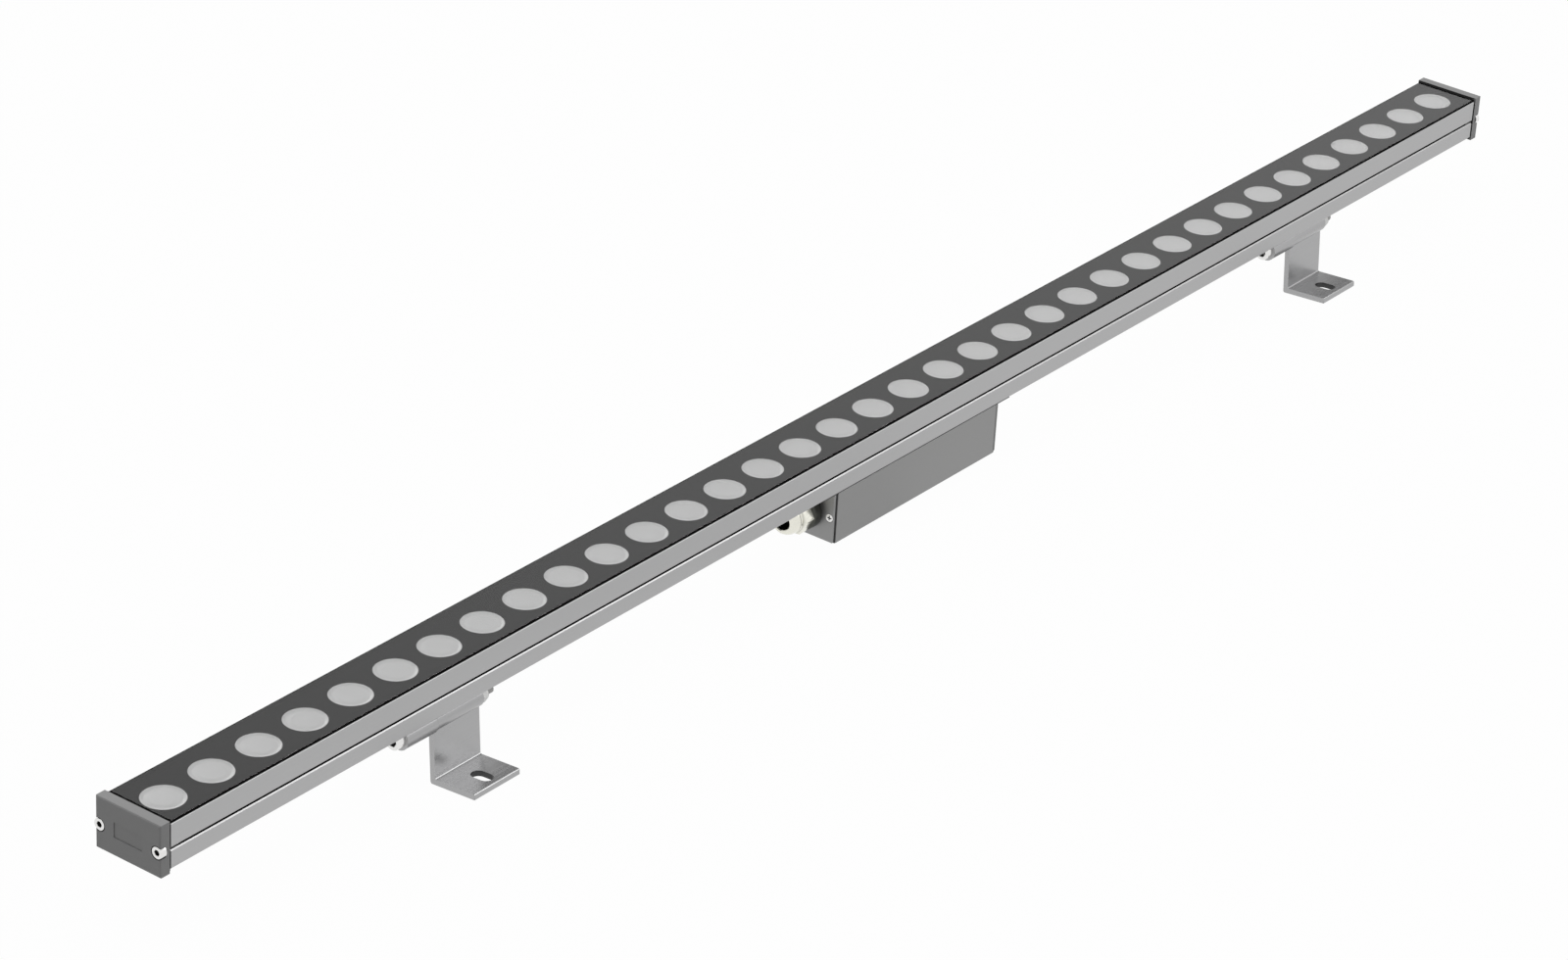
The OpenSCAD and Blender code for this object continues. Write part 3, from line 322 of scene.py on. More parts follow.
# %% Metal and paint finishes
SILVER = finish_of("anodised_silver", METAL_GRAIN, (0.42, 0.42, 0.422), 0.38, metallic=1.0, bump=0.05,
                   Lines=0.10, Grain=0.06)
HINGE_SILVER = finish_of("hinge_silver", METAL_GRAIN, (0.385, 0.385, 0.388), 0.3, metallic=1.0, bump=0.06,
                         Lines=0.12, Grain=0.08)
BOX_SILVER = finish_of("box_silver", METAL_GRAIN, (0.275, 0.275, 0.274), 0.42, metallic=1.0, bump=0.05,
                       Lines=0.10, Grain=0.06)
CAP_PAINT = finish_of("cap_paint", FINE_RIPPLE, (0.205, 0.205, 0.205), 0.45, bump=0.12,
                      Clouds=0.12, Scale=1500.0)
DARK_PAINT = finish_of("dark_paint", FINE_RIPPLE, (0.06, 0.06, 0.062), 0.5, bump=0.1,
                       Clouds=0.15, Scale=1800.0)
STEEL = finish_of("bright_steel", METAL_GRAIN, (0.78, 0.775, 0.765), 0.18, metallic=1.0, bump=0.03,
                  Lines=0.06, Grain=0.05)
ZINC = finish_of("dull_zinc", METAL_GRAIN, (0.47, 0.47, 0.465), 0.35, metallic=1.0, bump=0.04,
                 Lines=0.08, Grain=0.08)
NICKEL = finish_of("warm_nickel", METAL_GRAIN, (0.80, 0.79, 0.71), 0.22, metallic=1.0, bump=0.03,
                   Lines=0.05, Grain=0.05)
GLAND_DARK = finish_of("gland_dark", FINE_RIPPLE, (0.065, 0.067, 0.055), 0.35, metallic=0.4, bump=0.06,
                       Clouds=0.15, Scale=1200.0)

# %% [markdown]
# ### Rubber, plastic and circuit boards
# Rubber, seals and print are dull and dark, and the boards have a light gloss. The lenses could be made
# clear, but nothing shows behind them while the lamp is off, so they are a pale frosted plastic under a
# soft clear coat, which carries their arcs of light.

# %% Rubber, plastic and board finishes
RUBBER = finish_of("black_rubber", FINE_RIPPLE, (0.008, 0.008, 0.008), 0.7, bump=0.15,
                   Clouds=0.3, Scale=1700.0, Specular_IOR_Level=0.15)
GREY_RUBBER = finish_of("grey_rubber", FINE_RIPPLE, (0.07, 0.07, 0.07), 0.6, bump=0.15,
                        Clouds=0.3, Scale=1700.0, Specular_IOR_Level=0.2)
SEAL = finish_of("black_seal", FINE_RIPPLE, (0.002, 0.002, 0.002), 0.8, bump=0.1,
                 Clouds=0.3, Scale=1700.0, Specular_IOR_Level=0.03)
PRINT = finish_of("black_print", FINE_RIPPLE, (0.004, 0.004, 0.004), 0.8, bump=0.02,
                  Clouds=0.2, Scale=900.0, Specular_IOR_Level=0.0)
LENS = finish_of("lens_plastic", FINE_RIPPLE, (0.315, 0.315, 0.315), 0.34, bump=0.02,
                 Clouds=0.03, Scale=500.0, Coat_Weight=1.0, Coat_Roughness=0.24, Coat_IOR=1.8)
WHITE_BOARD = finish_of("white_board", FINE_RIPPLE, (0.75, 0.76, 0.73), 0.4, bump=0.05,
                        Clouds=0.06, Scale=2000.0)
LED_DOME = finish_of("led_dome", FINE_RIPPLE, (0.80, 0.66, 0.16), 0.25, bump=0.02,
                     Clouds=0.08, Scale=3000.0)
GREEN_BOARD = finish_of("green_board", FINE_RIPPLE, (0.03, 0.16, 0.06), 0.35, bump=0.05,
                        Clouds=0.1, Scale=2000.0)
MOULDED = finish_of("moulded_black", FINE_RIPPLE, (0.02, 0.02, 0.022), 0.45, bump=0.08,
                    Clouds=0.2, Scale=1500.0)
RED_LEAD = finish_of("red_lead", FINE_RIPPLE, (0.45, 0.03, 0.02), 0.4, bump=0.05,
                     Clouds=0.1, Scale=1500.0)

# %% [markdown]
# ### Glass
# The face glass is clear. It has to let lamp light through to the lenses, so shadow rays pass it by a plain
# transparent shader, while every other ray is bent and mirrored by the glass itself.

# %% Glass finish


def build_glass():
    """Principled glass, mixed with a Transparent shader for the rays that come from lamps."""
    material = bpy.data.materials.new("clear_glass")
    material.use_nodes = True
    tree = material.node_tree
    shader = tree.nodes["Principled BSDF"]
    place = tree.nodes.new("ShaderNodeTexCoord")
    clouds = noise_node(tree, place.outputs["Object"], scale=30.0)
    tint = varied(tree, colour_node(tree, (0.98, 0.98, 0.98)), clouds, 0.01)
    tree.links.new(tint, shader.inputs["Base Color"])
    shader.inputs["Roughness"].default_value = 0.0
    shader.inputs["Transmission Weight"].default_value = 1.0
    shader.inputs["IOR"].default_value = 1.45
    clear = tree.nodes.new("ShaderNodeBsdfTransparent")
    path = tree.nodes.new("ShaderNodeLightPath")
    mix = tree.nodes.new("ShaderNodeMixShader")
    tree.links.new(path.outputs["Is Shadow Ray"], mix.inputs["Fac"])
    tree.links.new(shader.outputs["BSDF"], mix.inputs[1])
    tree.links.new(clear.outputs["BSDF"], mix.inputs[2])
    tree.links.new(mix.outputs["Shader"], tree.nodes["Material Output"].inputs["Surface"])
    return material


GLASS = build_glass()
print("finishes:", len(bpy.data.materials))

# %% [markdown]
# ## Carry the finishes over to the frame
# Seals, gaskets, nuts, the boards and what sits on them are plain or hidden. They could be built anew, but
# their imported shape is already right, so they keep it and only get their finish.

# %% Dress the nodes that stay
DRESS = {
    SEAL: ["glass_seal"],
    GREY_RUBBER: ["driver_gaskets"],
    RUBBER: ["end_gasket_left", "end_gasket_right", "gland_seal", "wire_grommet"],
    STEEL: ["board_screws", "leaf_nuts", "tab_nuts", "joining_screws", "driver_board_screws"],
    WHITE_BOARD: ["led_board"],
    LED_DOME: ["led_chips"],
    GREEN_BOARD: ["driver_board"],
    MOULDED: ["driver_parts"],
    RED_LEAD: ["supply_leads"],
    NICKEL: ["gland_lock_nut"],
}
for material, names in DRESS.items():
    for name in names:
        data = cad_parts[name].data
        data.materials.clear()
        data.materials.append(material)
print("dressed:", sum(len(names) for names in DRESS.values()))

# %% [markdown]
# ## Softened edges
# No extruded or cast edge is a knife edge: it has a radius of a tenth of a millimetre or more, and that
# narrow round is what catches the light. These pieces could be drawn anew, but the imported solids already
# hold every port and slot. So a copy of each is welded, its flat faces are merged, and a Bevel modifier
# rounds what is left.

# %% Pieces with softened edges
ROUND_FROM, SHARP_FROM = 40, 28
ROOM_PER_WIDTH = 2.2


def softened(node, name, width, body, material):
    """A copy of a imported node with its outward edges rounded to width, in mm, where faces meet at more than
    ROUND_FROM degrees and the neighbouring edges leave room. Other edges above SHARP_FROM degrees stay
    sharp."""
    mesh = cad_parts[node].data.copy()
    mesh.name = name
    if "custom_normal" in mesh.attributes:
        mesh.attributes.remove(mesh.attributes["custom_normal"])
    bm = bmesh.new()
    bm.from_mesh(mesh)
    bmesh.ops.remove_doubles(bm, verts=bm.verts, dist=2e-6)
    bmesh.ops.dissolve_limit(bm, angle_limit=math.radians(0.5), verts=bm.verts, edges=bm.edges)
    weight = bm.edges.layers.float.new("bevel_weight_edge")
    for edge in bm.edges:
        room = min(e.calc_length() for v in edge.verts for e in v.link_edges)
        outward = len(edge.link_faces) == 2 and edge.calc_face_angle_signed(0) > math.radians(ROUND_FROM)
        edge[weight] = 1.0 if outward and room > ROOM_PER_WIDTH * width * MM else 0.0
        edge.smooth = edge[weight] > 0.5 or edge.calc_face_angle(0) < math.radians(SHARP_FROM)
    bm.to_mesh(mesh)
    bm.free()
    mesh.polygons.foreach_set("use_smooth", np.ones(len(mesh.polygons), bool))
    mesh.materials.clear()
    mesh.materials.append(material)
    piece = bpy.data.objects.new(name, mesh)
    bpy.context.scene.collection.objects.link(piece)
    bevel = piece.modifiers.new("round", "BEVEL")
    bevel.width = width * MM
    bevel.segments = 3
    bevel.limit_method = "WEIGHT"
    bevel.use_clamp_overlap = False
    bevel.harden_normals = True
    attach(piece, body)
    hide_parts(node)
    return piece


HOUSING_EDGE, CAP_EDGE, PLATE_EDGE, FOOT_EDGE, LEAF_EDGE, BOX_EDGE = 0.12, 0.15, 0.15, 0.22, 0.25, 0.25
HOUSING_HALF_L, GASKET_T, CAP_T = 495, 0.9, 5.4
CAP_FACE = HOUSING_HALF_L + GASKET_T + CAP_T
CAP_SCREW_Y, CAP_SCREW_Z = 15.7, -12.0
housing = softened("housing", "extrusion", HOUSING_EDGE, "lamp", SILVER)
caps, feet = [], []
for side, foot_body in (("left", "near_foot"), ("right", "far_foot")):
    caps.append(softened("end_cap_" + side, "cap_" + side, CAP_EDGE, "lamp", CAP_PAINT))
    softened("hinge_leaf_" + side, "leaf_" + side, LEAF_EDGE, "lamp", HINGE_SILVER)
    softened("driver_plate_" + side, "box_end_" + side, BOX_EDGE, "lamp", BOX_SILVER)
    foot_name = "bent_foot_" + side
    foot = softened("foot_" + side, foot_name, FOOT_EDGE, foot_body, HINGE_SILVER)
    feet.append(foot)
softened("driver_shell", "box_shell", BOX_EDGE, "lamp", BOX_SILVER)
softened("mounting_plate", "box_plate", PLATE_EDGE, "lamp", DARK_PAINT)

# %% [markdown]
# ## Darker recesses
# Little light gets into the side grooves, the nut track, the counterbores and the feet's slots. The faces
# in them are found by where their middles lie, and get a shade that the finishes paint in as darker colour:
# painted shade. A painted picture could do this too, but a number on each face needs no unwrapping.

# %% The side grooves and the channel under the housing
GROOVE_HALF_H, GROOVE_MOUTH_Y = 1.6, 17.3
BEVEL_Y, BEVEL_TOP = 16.84, -11.6
CHANNEL_Y, CHANNEL_TOP, CHANNEL_LOW = 16.0, -14.0, -21.4
CHANNEL_SHADE, SLOT_SHADE = 0.5, 0.95
spot = face_middles(housing.data)
across, height = np.abs(spot[:, 1]), spot[:, 2]
on_bevel = (across >= BEVEL_Y) & (height <= BEVEL_TOP)
in_groove = (np.abs(height - CAP_SCREW_Z) < GROOVE_HALF_H) & (across < GROOVE_MOUTH_Y) & ~on_bevel
in_groove &= np.abs(spot[:, 0]) < HOUSING_HALF_L - 1
in_channel = (across < CHANNEL_Y) & (height < CHANNEL_TOP) & (height > CHANNEL_LOW)
# Painted shade: full in the side grooves and screw ports, half in the channel under the housing.
set_shade(housing.data, np.where(in_groove, 1.0, np.where(in_channel, CHANNEL_SHADE, 0.0)), "FACE")

# %% The counterbores in the caps, and the slots in the feet
BORE_REACH, CAP_SIDE_Y = 3.2, 17.4
for cap in caps:
    spot = face_middles(cap.data)
    across = np.abs(spot[:, 1])
    in_bore = np.hypot(across - CAP_SCREW_Y, spot[:, 2] - CAP_SCREW_Z) < BORE_REACH
    in_bore &= (np.abs(spot[:, 0]) < CAP_FACE - 0.1) & (across < CAP_SIDE_Y)
    # Painted shade on the counterbores' walls and floors.
    set_shade(cap.data, np.where(in_bore, 1.0, 0.0), "FACE")
TOE_TO_SLOT, SLOT_REACH, TOE_T = 8.4, 7.5, 3.0
for foot in feet:
    middles = np.array([face.center for face in foot.data.polygons]) / MM
    upright = np.array([abs(face.normal.z) <= 0.5 for face in foot.data.polygons])
    slot_x, slot_y = np.median(middles[:, 0]), middles[:, 1].min() + TOE_TO_SLOT
    around = np.hypot(middles[:, 0] - slot_x, middles[:, 1] - slot_y)
    in_slot = (around < SLOT_REACH) & (middles[:, 2] < TOE_T) & upright
    # Painted shade on the walls of the feet's slots.
    set_shade(foot.data, np.where(in_slot, SLOT_SHADE, 0.0), "FACE")
    print("faces in the slot:", int(in_slot.sum()))

# %% [markdown]
# ## The print on the glass
# The black of the face is ink on the underside of the glass, so the two touch with no air between them, and
# only the glass's top mirrors the room. The sheet reaches a hair into the glass to give that contact. Each
# lens has a cell of the sheet: rings of points go from the round window out to the cell's four sides. A
# Boolean could cut the windows, but rings leave only clean quads.

# %% The printed mask with its round windows
LENS_COUNT, LENS_PITCH = 36, 27.5
lens_x = (np.arange(LENS_COUNT) - (LENS_COUNT - 1) / 2) * LENS_PITCH
GLASS_HALF_L, GLASS_HALF_W, GLASS_T = 493.8, 16.4, 4.0
WINDOW_R, PRINT_TOP, PRINT_LOW = 9.66, -3.97, -4.8
NEAR = 1e-6


def window_cell(x, segments=96):
    """The sheet round one window, as rings: rectangle (bottom), circle (bottom), circle (top), rectangle
    (top). The rectangle's points lie where rays from the centre meet the cell's sides. Walls join the
    rectangles only where they lie on the sheet's own edge."""
    turn = (np.arange(segments) + 0.5) / segments * 2 * np.pi
    ray = np.stack([np.cos(turn), np.sin(turn)], axis=-1)
    left, right = max(x - LENS_PITCH / 2, -GLASS_HALF_L) - x, min(x + LENS_PITCH / 2, GLASS_HALF_L) - x
    reach_x = np.where(ray[:, 0] > 0, right, left) / ray[:, 0]
    box = ray * np.minimum(reach_x, GLASS_HALF_W / np.abs(ray[:, 1]))[:, None]
    for corner_x in (left, right):
        for corner_y in (-GLASS_HALF_W, GLASS_HALF_W):
            box[np.argmin(np.hypot(box[:, 0] - corner_x, box[:, 1] - corner_y))] = corner_x, corner_y
    circle = ray * WINDOW_R
    rings = ((box, PRINT_LOW), (circle, PRINT_LOW), (circle, PRINT_TOP), (box, PRINT_TOP))
    points = np.stack([np.column_stack([ring + [x, 0], np.full(segments, z)]) for ring, z in rings])
    past = np.roll(box, -1, axis=0)
    edge = np.minimum(np.abs(box[:, 1]), np.abs(past[:, 1])) > GLASS_HALF_W - NEAR
    edge |= np.minimum(np.abs(box[:, 0] + x), np.abs(past[:, 0] + x)) > GLASS_HALF_L - NEAR
    j = np.arange(segments)[edge]
    k = (j + 1) % segments
    walls = np.stack([3 * segments + j, 3 * segments + k, k, j], axis=-1)
    return points, np.concatenate([grid_faces(4, segments), walls]), 0.0


make_piece("printed_mask", joined([window_cell(x) for x in lens_x]), "lamp", PRINT,
           ["mask_plate"])

# %% [markdown]
# ## The glass
# The strip is ground square, with a fine ground edge, and lies against the black seal. A cube with a bevel
# would do. Four rings of corners, pulled in by a twentieth of a millimetre at both faces, give the same
# plate with its measures in plain sight.

# %% The face glass


def plate(half_x, half_y, low, high, ground=0.05):
    """A rectangular plate: rings of four corners from the lower face up, and a quad over each end."""
    corner = np.array([(-1, -1), (1, -1), (1, 1), (-1, 1)])
    levels = ((ground, low), (0, low + ground), (0, high - ground), (ground, high))
    points = np.stack([np.column_stack([corner * (half_x - pull, half_y - pull), np.full(4, z)])
                       for pull, z in levels])
    return points, np.concatenate([grid_faces(4, 4), [(3, 2, 1, 0), (12, 13, 14, 15)]]), 0.0


make_piece("face_glass_strip", plate(GLASS_HALF_L, GLASS_HALF_W, -GLASS_T, 0.0), "lamp", GLASS,
           ["face_glass"])

# %% [markdown]
# ## The lenses
# Each lens is moulded with a low stepped face: a rim that fills the window, a gutter inside it, and two
# soft steps up to the level middle. The steps are eased at both ends, as a polished mould leaves them, and
# their slopes carry the soft arcs of light. Bump in a material could fake them, but then the outline would
# stay flat. So a profile of radius and height is turned about the lens's axis.

# %% Turn a rounded profile


def rounded_profile(corners, radius, steps):
    """A profile of (radius, height) corners, each cut back by radius and filled with points on a quadratic
    curve that starts and ends on the two sides. The first and last corner stay."""
    corners = np.asarray(corners, float)
    out = [corners[0]]
    t = np.linspace(0, 1, steps)[:, None]
    for before, corner, after in zip(corners[:-2], corners[1:-1], corners[2:]):
        back, on = before - corner, after - corner
        cut = min(radius, 0.45 * np.linalg.norm(back), 0.45 * np.linalg.norm(on))
        start = corner + back / np.linalg.norm(back) * cut
        stop = corner + on / np.linalg.norm(on) * cut
        out.extend((1 - t) ** 2 * start + 2 * t * (1 - t) * corner + t ** 2 * stop)
    out.append(corners[-1])
    return np.asarray(out)


def turned(profile, segments):
    """A (radius, height) profile turned about Z: point (i, j) is profile point i at angle j."""
    turn = np.arange(segments) / segments * 2 * np.pi
    r, z = profile[:, 0][:, None], profile[:, 1][:, None]
    grid = np.stack([r * np.cos(turn), r * np.sin(turn), z + 0 * turn], axis=-1)
    return grid, grid_faces(len(profile), segments)


def ease(t):
    """A step from 0 to 1 that starts and ends level: 3 t^2 - 2 t^3, for t held between 0 and 1."""
    t = np.clip(t, 0, 1)
    return t * t * (3 - 2 * t)


# Each step of the face, from the middle outwards: its rise, the radius where it starts, and its width
FACE_TOP = -4.2
FACE_STEPS = ((-0.05, 3.0, 2.2), (-0.24, 5.4, 2.4), (0.38, 7.9, 1.5))


def lens_face(r):
    """Height of the moulded face over the radius: a level middle, a faint wide step down, a second wide
    step down into the gutter, and an eased rise up to the rim that fills the window."""
    height = FACE_TOP
    for rise, start, width in FACE_STEPS:
        height = height + rise * ease((r - start) / width)
    return height


# %% The row of lenses
BOARD_TOP, POCKET_TOP, FLANGE_LOW, FLANGE_TOP = -13.0, -9.8, -6.0, -4.83
POCKET_R, LENS_FOOT_R, BODY_R, FLANGE_R, RIM_R, FACE_R = 3.4, 5.0, 9.9, 10.9, 9.62, 9.45
RIM_LOW, RIM_MID, RIM_TOP = -4.4, -4.3, -4.21
FINE_TO_R, FACE_RINGS = 3.8, 29
body_corners = [(0, POCKET_TOP), (POCKET_R, POCKET_TOP), (POCKET_R, BOARD_TOP), (LENS_FOOT_R, BOARD_TOP),
                (BODY_R, FLANGE_LOW), (FLANGE_R, FLANGE_LOW), (FLANGE_R, FLANGE_TOP), (RIM_R, FLANGE_TOP),
                (RIM_R, RIM_LOW)]
body = rounded_profile(body_corners, radius=0.2, steps=2)
rim = [(RIM_R, RIM_MID), (RIM_R - 0.05, RIM_TOP)]
face_r = np.concatenate([np.linspace(FACE_R, FINE_TO_R, FACE_RINGS), [2.0, 0.0]])
lens_profile = np.concatenate([body, rim, np.column_stack([face_r, lens_face(face_r)])])
one_lens, lens_faces = turned(lens_profile, segments=52)
lens_row = joined([(one_lens + [x, 0, 0], lens_faces, 0.0) for x in lens_x])
make_piece("lens_row", lens_row, "lamp", LENS, ["lenses"], crease=50)

# %% [markdown]
# ## Screws with sockets
# A socket screw is turned like a lens, but its socket is a hexagon. The profile runs from the tip up to the
# head and down into the socket, and a share between 0 and 1 says how far each ring is pulled from a circle
# to a hexagon. Two more shares say where the thread is cut, and how much painted shade the ring gets. A
# Boolean could cut the socket and the thread, but one grid has no crossing faces to mend.

# %% Hexagons and threads as functions
TIP_H, RING_STEP, PLAIN_NECK = 0.3, 0.2, 0.3


def hexagon(turn):
    """How far a hexagon with an inner radius of 1 reaches at an angle: one over the cosine of the angle to
    the middle of the nearest flat."""
    return 1 / np.cos((turn + np.pi / 6) % (np.pi / 3) - np.pi / 6)


def screw_surface(rings, segments=72, pitch=0.8, depth=0.35):
    """A surface along Z from rings of (radius, height, hexagon, thread, shade). A ring's reach is its
    radius times a mix of 1 and the hexagon, less the thread: a triangle wave over height and angle, which
    makes a helix."""
    radius, height, six, thread, shade = (np.asarray(column, float)[:, None] for column in zip(*rings))
    turn = np.arange(segments)[None, :] / segments * 2 * np.pi
    reach = radius * (1 - six + six * hexagon(turn))
    wave = (height / pitch + turn / (2 * np.pi)) % 1
    reach = reach - thread * depth * np.abs(2 * wave - 1)
    grid = np.stack([reach * np.cos(turn), reach * np.sin(turn), height + 0 * turn], axis=-1)
    return grid, grid_faces(len(rings), segments), shade


def shank_rings(radius, length, plain, thread_shade=0.2):
    """Rings of a screw's shank from its tip at -length: a cone, then thread, then a plain stretch of a
    length. The thread's shade value is painted shade on the thread and the plain stretch."""
    rings = [(0, -length, 0, 0, 0), (radius * 0.8, -length, 0, 0, 0)]
    rings += [(radius, z, 0, 1, thread_shade) for z in np.arange(-length + TIP_H, -plain - RING_STEP, RING_STEP)]
    return rings + [(radius, -plain, 0, 0, thread_shade), (radius, 0, 0, 0, thread_shade)]


def socket_rings(socket, top, floor):
    """Rings from a head's top down into a hexagonal socket: a thin bevel, the walls, and a coned floor,
    with painted shade deepening down the socket.
    """
    return [(socket * 1.2, top, 0, 0, 0), (socket * 1.08, top - 0.08, 0.8, 0, 0.4),
            (socket, top - 0.2, 1, 0, 0.8), (socket, floor, 1, 0, 0.9),
            (0, floor - socket * 0.3, 0, 0, 0.85)]


def socket_screw(shank_r, length, head_r, head_h, socket_flats, thread_shade, plain=PLAIN_NECK):
    """A socket head screw along +Z, with the head's bearing face at 0 and its tip at -length."""
    chamfer = 0.1 * head_r
    rings = shank_rings(shank_r, length, plain, thread_shade)
    rings += [(head_r * 0.97, 0, 0, 0, 0), (head_r, 0.1, 0, 0, 0), (head_r, head_h - chamfer, 0, 0, 0),
              (head_r - chamfer * 0.35, head_h - chamfer * 0.3, 0, 0, 0),
              (head_r - chamfer, head_h, 0, 0, 0)]
    return screw_surface(rings + socket_rings(socket_flats / 2, head_h, head_h * 0.4))


# %% Point a screw along X or down


def aim(surface, direction, place):
    """Turns a surface made along +Z to "-x", "+x" or "-z", and moves it to place."""
    grid, faces, shade = surface
    x, y, z = grid[..., 0], grid[..., 1], grid[..., 2]
    turned_to = {"+x": (z, y, -x), "-x": (-z, y, x), "-z": (x, -y, -z)}[direction]
    return np.stack(turned_to, axis=-1) + np.asarray(place, float), faces, shade


CAP_HEAD_H = 3.0
# Full painted shade on the thread that shows in the side groove's port.
cap_screw = socket_screw(shank_r=1.35, length=8, head_r=2.75, head_h=CAP_HEAD_H, socket_flats=2.4, thread_shade=1.0)
cap_screws = [aim(cap_screw, direction, (end, y, CAP_SCREW_Z)) for y in (-CAP_SCREW_Y, CAP_SCREW_Y)
              for direction, end in (("-x", -CAP_FACE + CAP_HEAD_H), ("+x", CAP_FACE - CAP_HEAD_H))]
make_piece("cap_screw_set", joined(cap_screws), "lamp", STEEL, ["end_cap_screws"])

# %% [markdown]
# ## Hinge bolts, washers and nuts
# Each hinge is a bolt through the leaf's knuckle, a thin washer, the foot's knuckle and a nut. The bolt's
# head looks towards the near end of the lamp, and its thread shows past the nut. The nut is a hexagon whose
# corners are cut by a cone at both ends. A Boolean with a cone would do it. Here each ring takes the
# smaller of the two reaches, which is the same cut as a formula.

# %% Bolts, washers and nuts of the two hinges
HINGE_STARTS = (-353.8, 306.2)
LEAF_L, WASHER_T, FOOT_W, FLOAT, NUT_H, BOLT_PAST = 19.0, 0.5, 29.0, 0.1, 4.0, 5.3
AXIS = (-HINGE_Y, -HINGE_DROP)
NUT_AT = LEAF_L + WASHER_T + FOOT_W + 2 * FLOAT
CONE_START, CONE_RISE = 0.96, 1.732


def nut_surface(flats, thickness, bore, segments=96):
    """A hexagon nut along Z from 0 up: rings of bore, face, chamfer, side, chamfer, face and bore. A cone
    at 30 degrees to the axis caps the reach near both faces."""
    half = flats / 2
    turn = np.arange(segments) / segments * 2 * np.pi
    low = np.array([0, 0, 0.15, 0.3, 0.5, 0.8])
    z = np.concatenate([low, thickness - low[::-1]])
    cone = half * CONE_START + np.minimum(z, thickness - z) * CONE_RISE
    reach = np.minimum(half * hexagon(turn)[None, :], cone[:, None])
    reach[0], reach[-1] = bore, bore
    grid = np.stack([reach * np.cos(turn), reach * np.sin(turn), z[:, None] + 0 * turn], axis=-1)
    grid = np.concatenate([grid, grid[:1]])
    return grid, grid_faces(len(grid), segments), 0.0


WASHER_BORE, WASHER_R = 2.6, 4.8
# The thread that shows past the nut gets painted shade.
hinge_bolt = socket_screw(shank_r=2.48, length=NUT_AT + NUT_H + BOLT_PAST, head_r=4.05, head_h=4.0,
                          socket_flats=4.0, plain=38.0, thread_shade=0.7)
washer_section = [(WASHER_BORE, 0), (WASHER_R, 0), (WASHER_R, WASHER_T), (WASHER_BORE, WASHER_T),
                  (WASHER_BORE, 0)]
washer = (*turned(rounded_profile(washer_section, radius=0.12, steps=4), segments=64), 0.0)
hinge_nut = nut_surface(flats=8.0, thickness=NUT_H, bore=2.52)
bolts = [aim(hinge_bolt, "-x", (start, *AXIS)) for start in HINGE_STARTS]
nuts = [aim(hinge_nut, "+x", (start + NUT_AT, *AXIS)) for start in HINGE_STARTS]
washers = [aim(washer, "+x", (start + LEAF_L, *AXIS)) for start in HINGE_STARTS]
make_piece("hinge_bolt_set", joined(bolts), "lamp", STEEL, ["hinge_bolts"])
make_piece("hinge_nut_set", joined(nuts), "lamp", ZINC, ["hinge_nuts"])
make_piece("hinge_washer_set", joined(washers), "lamp", ZINC, ["hinge_washers"])

# %% [markdown]
# ## Button screws under the lamp
# They clamp the hinge leaves and the box's mounting plate to nuts in the housing's track. A button head is
# a low dome: its radius falls as a circle's does while its height grows. It could be a cut sphere, but as
# rings it shares its shank and its socket with the other screws.

# %% Button-headed screws


def button_screw(shank_r, length, head_r, head_h, socket_flats):
    """A button head screw along +Z with the head's bearing face at 0. The dome's ring at angle a has the
    radius rim + (head - rim) * cos(a) and the height rise * sin(a)."""
    rim = socket_flats / 2 * 1.25
    rings = shank_rings(shank_r, length, PLAIN_NECK) + [(head_r - 0.1, 0, 0, 0, 0)]
    rings += [(rim + (head_r - rim) * math.cos(a), head_h * (0.12 + 0.88 * math.sin(a)), 0, 0, 0)
              for a in np.linspace(0, np.pi / 2, 7)]
    return screw_surface(rings + socket_rings(socket_flats / 2, head_h, head_h * 0.4))


UNDERSIDE, LEAF_T, PLATE_T = -21.5, 2.8, 1.2
BOX_X, BOX_L, TAB = 2.2, 127.6, 8.5
leaf_screw = button_screw(shank_r=2.45, length=6.8, head_r=4.75, head_h=2.7, socket_flats=3.0)
tab_screw = button_screw(shank_r=1.95, length=5.2, head_r=3.7, head_h=2.2, socket_flats=2.5)
leaf_screws = [aim(leaf_screw, "-z", (start + LEAF_L / 2, 0, UNDERSIDE - LEAF_T)) for start in HINGE_STARTS]
tab_screws = [aim(tab_screw, "-z", (BOX_X + end * (BOX_L + TAB) / 2, 0, UNDERSIDE - PLATE_T))
              for end in (-1, 1)]
make_piece("leaf_screw_set", joined(leaf_screws), "lamp", STEEL, ["leaf_screws"])
make_piece("tab_screw_set", joined(tab_screws), "lamp", STEEL, ["tab_screws"])

# %% [markdown]
# ## Cross-head screws in the box's ends
# They are countersunk, so that only a flat disc shows, with a cross in it. A cross is no turned shape, so
# the face is a height over the plane: level, less the depth of the cross, whose arms grow shallow outwards
# because the driver's tip is tapered.

# %% Cross-head screws
EDGE_H, CROSS_DEPTH = 0.08, 0.85


